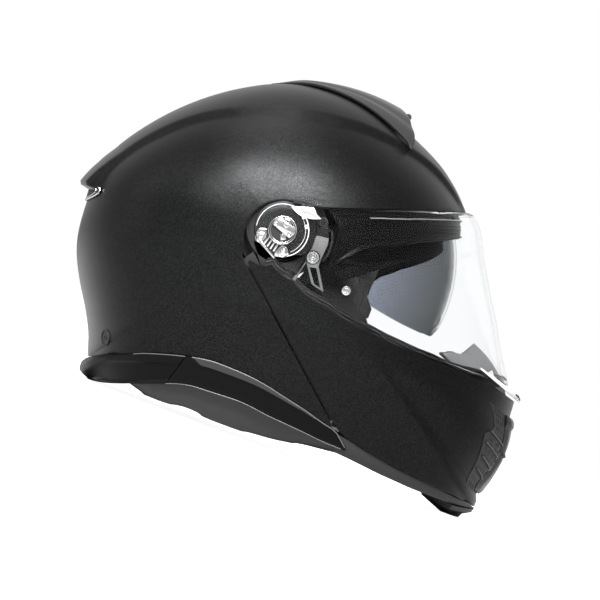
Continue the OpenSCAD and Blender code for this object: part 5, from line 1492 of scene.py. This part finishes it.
def chin_curtain():
    us = [i / 24 for i in range(-24, 25)]
    def line(k, lift):
        front = CHIN_WALL + 5 * SEAT
        return [chin_point(u * CURTAIN_HALF_W, R * mix(-1.20, -1.25, k), front + k * R * 0.25)
            + Vector((0, 0, lift - 0.0022 * sine(180 * k) + 0.0005 * k * sine(720 * u) * (1 - u * u))) for u in us]
    shares = [k / 10 for k in range(11)]
    form = loft([line(k, CURTAIN_T / 2) for k in shares] + [line(k, -CURTAIN_T / 2) for k in reversed(shares)])
    cloth = piece("curtain_cloth", form, "chin_bar", LINING, "lining", "chin_curtain", sharp=60)
    hem = piece("curtain_hem", tube(line(1, 0), 0.0014, 10), "chin_bar", BINDING, "lining")
    middle = line(0.5, 0)
    width = sum((q - p).length for p, q in zip(middle, middle[1:]))
    depth = sum((line(q, 0)[24] - line(p, 0)[24]).length for p, q in zip(shares, shares[1:]))


def dress_frame():
    """Finishes for the frame's own solids that still show"""
    finishes = {
        "boss_screws": METAL, "pivot_arm": MOULDED, "latch_strikers": MOULDED, "latch": DULL_METAL,
        "sun_pivots": METAL, "strap_anchors": METAL, "side_plate": MOULDED, "sun_arm": MOULDED, "sun_track": MOULDED,
        "buckle_body": SATIN, "buckle_lever": RUBBER, "release_lever": RUBBER, "slider": RUBBER, "foam": BEADS,
    }
    for name, obj in nodes.items():
        key = next((k for k in finishes if k in name), None)
        if obj.hide_render or not key:
            continue
        obj.data.materials.clear()
        obj.data.materials.append(finishes[key])
        if key in ("latch", "strap_anchors", "buckle_body", "buckle_lever", "release_lever", "slider"):
            rounded(obj, 0.0004, 40)


# Stage, light and camera
WHITE = (1, 1, 1, 1)


def stage():
    """A floor that looks white from the camera and still takes the shadow"""
    bm = bmesh.new()
    bmesh.ops.create_grid(bm, x_segments=1, y_segments=1, size=6)
    mesh = bpy.data.meshes.new("floor")
    bm.to_mesh(mesh)
    bm.free()
    floor = bpy.data.objects.new("floor", mesh)
    bpy.context.scene.collection.objects.link(floor)
    pale = bpy.data.materials.new("pale_floor")
    pale.use_nodes = True
    tree = pale.node_tree
    bsdf = tree.nodes["Principled BSDF"].inputs
    rays = node(tree, "LightPath").outputs
    for label, value in (("Base Color", (0.5, 0.5, 0.5, 1)), ("Roughness", 0.9), ("Emission Color", WHITE),
            ("Emission Strength", calc(tree, "MULTIPLY", rays["Is Camera Ray"], 0.93))):
        feed(tree, bsdf[label], value)
    mesh.materials.append(pale)


def world():
    """White where the camera sees it, directly, through a lens or in a gloss, and dim as a light"""
    w = bpy.data.worlds.new("studio")
    bpy.context.scene.world = w
    w.use_nodes = True
    tree = w.node_tree
    back = tree.nodes["Background"].inputs
    rays = node(tree, "LightPath").outputs
    seen = calc(tree, "MAXIMUM", rays["Is Camera Ray"], rays["Is Transmission Ray"])
    seen = calc(tree, "MAXIMUM", seen, rays["Is Glossy Ray"])
    feed(tree, back["Strength"], ramp(tree, seen, 0, 1, 0.25, 1.0))
    feed(tree, back["Color"], WHITE)


def lamp(name, power, size, spot, target):
    data = bpy.data.lights.new(name, "AREA")
    data.energy = power
    data.shape = "RECTANGLE"
    data.size, data.size_y = size
    obj = bpy.data.objects.new(name, data)
    obj.location = spot
    obj.rotation_euler = (Vector(target) - Vector(spot)).to_track_quat("-Z", "Y").to_euler()
    bpy.context.scene.collection.objects.link(obj)


TILT = math.radians(20.6)
SCALE = 0.00073
PIVOT_PX = (283, 232)
FRAME_PX = 600
LENS_DISTANCE = 5.0


def camera():
    """Side view at the height of the pivot, rolled so that the helmet stands nose down as it was photographed"""
    right = Vector((math.cos(TILT), 0, math.sin(TILT)))
    up = Vector((-math.sin(TILT), 0, math.cos(TILT)))
    half = FRAME_PX / 2
    centre = Vector((PIVOT_X, 0, PIVOT_Z)) + right * (half - PIVOT_PX[0]) * SCALE - up * (half - PIVOT_PX[1]) * SCALE
    data = bpy.data.cameras.new("camera")
    data.sensor_width = 36
    data.lens = 36 * LENS_DISTANCE / (FRAME_PX * SCALE)
    data.clip_end = 50
    cam = bpy.data.objects.new("camera", data)
    cam.matrix_world = Matrix((
        (right.x, up.x, 0, centre.x), (0, 0, -1, -LENS_DISTANCE), (right.z, up.z, 0, centre.z), (0, 0, 0, 1)))
    bpy.context.scene.collection.objects.link(cam)
    bpy.context.scene.camera = cam


bpy.context.scene.view_settings.view_transform = "Standard"
for make in (shell, chin_bar, visor, lower_trims, brow, brow_trim, brow_foam, crown_foam, sun_pods, sun_visor,
        deflector, gasket, visor_hub, base_plate, hinge_link, lens_pins, visor_tab, visor_corner, chin_vent,
        chin_underside, rear_outlet, port_plugs, top_vent, crown_pad, neck_roll, cheek_pads, skirts, swell_cushions,
        straps, chin_curtain, dress_frame, stage, world):
    make()
lamp("key_softbox", 108, (1.0, 0.52), (-0.22, -1.0, 0.98), (0, 0, 0.15))
lamp("top_softbox", 12, (1.2, 0.6), (-0.5, -0.1, 1.5), (0, 0, 0.15))
lamp("rear_softbox", 7, (0.5, 1.2), (-1.5, -0.3, 0.5), (0, 0, 0.15))
camera()
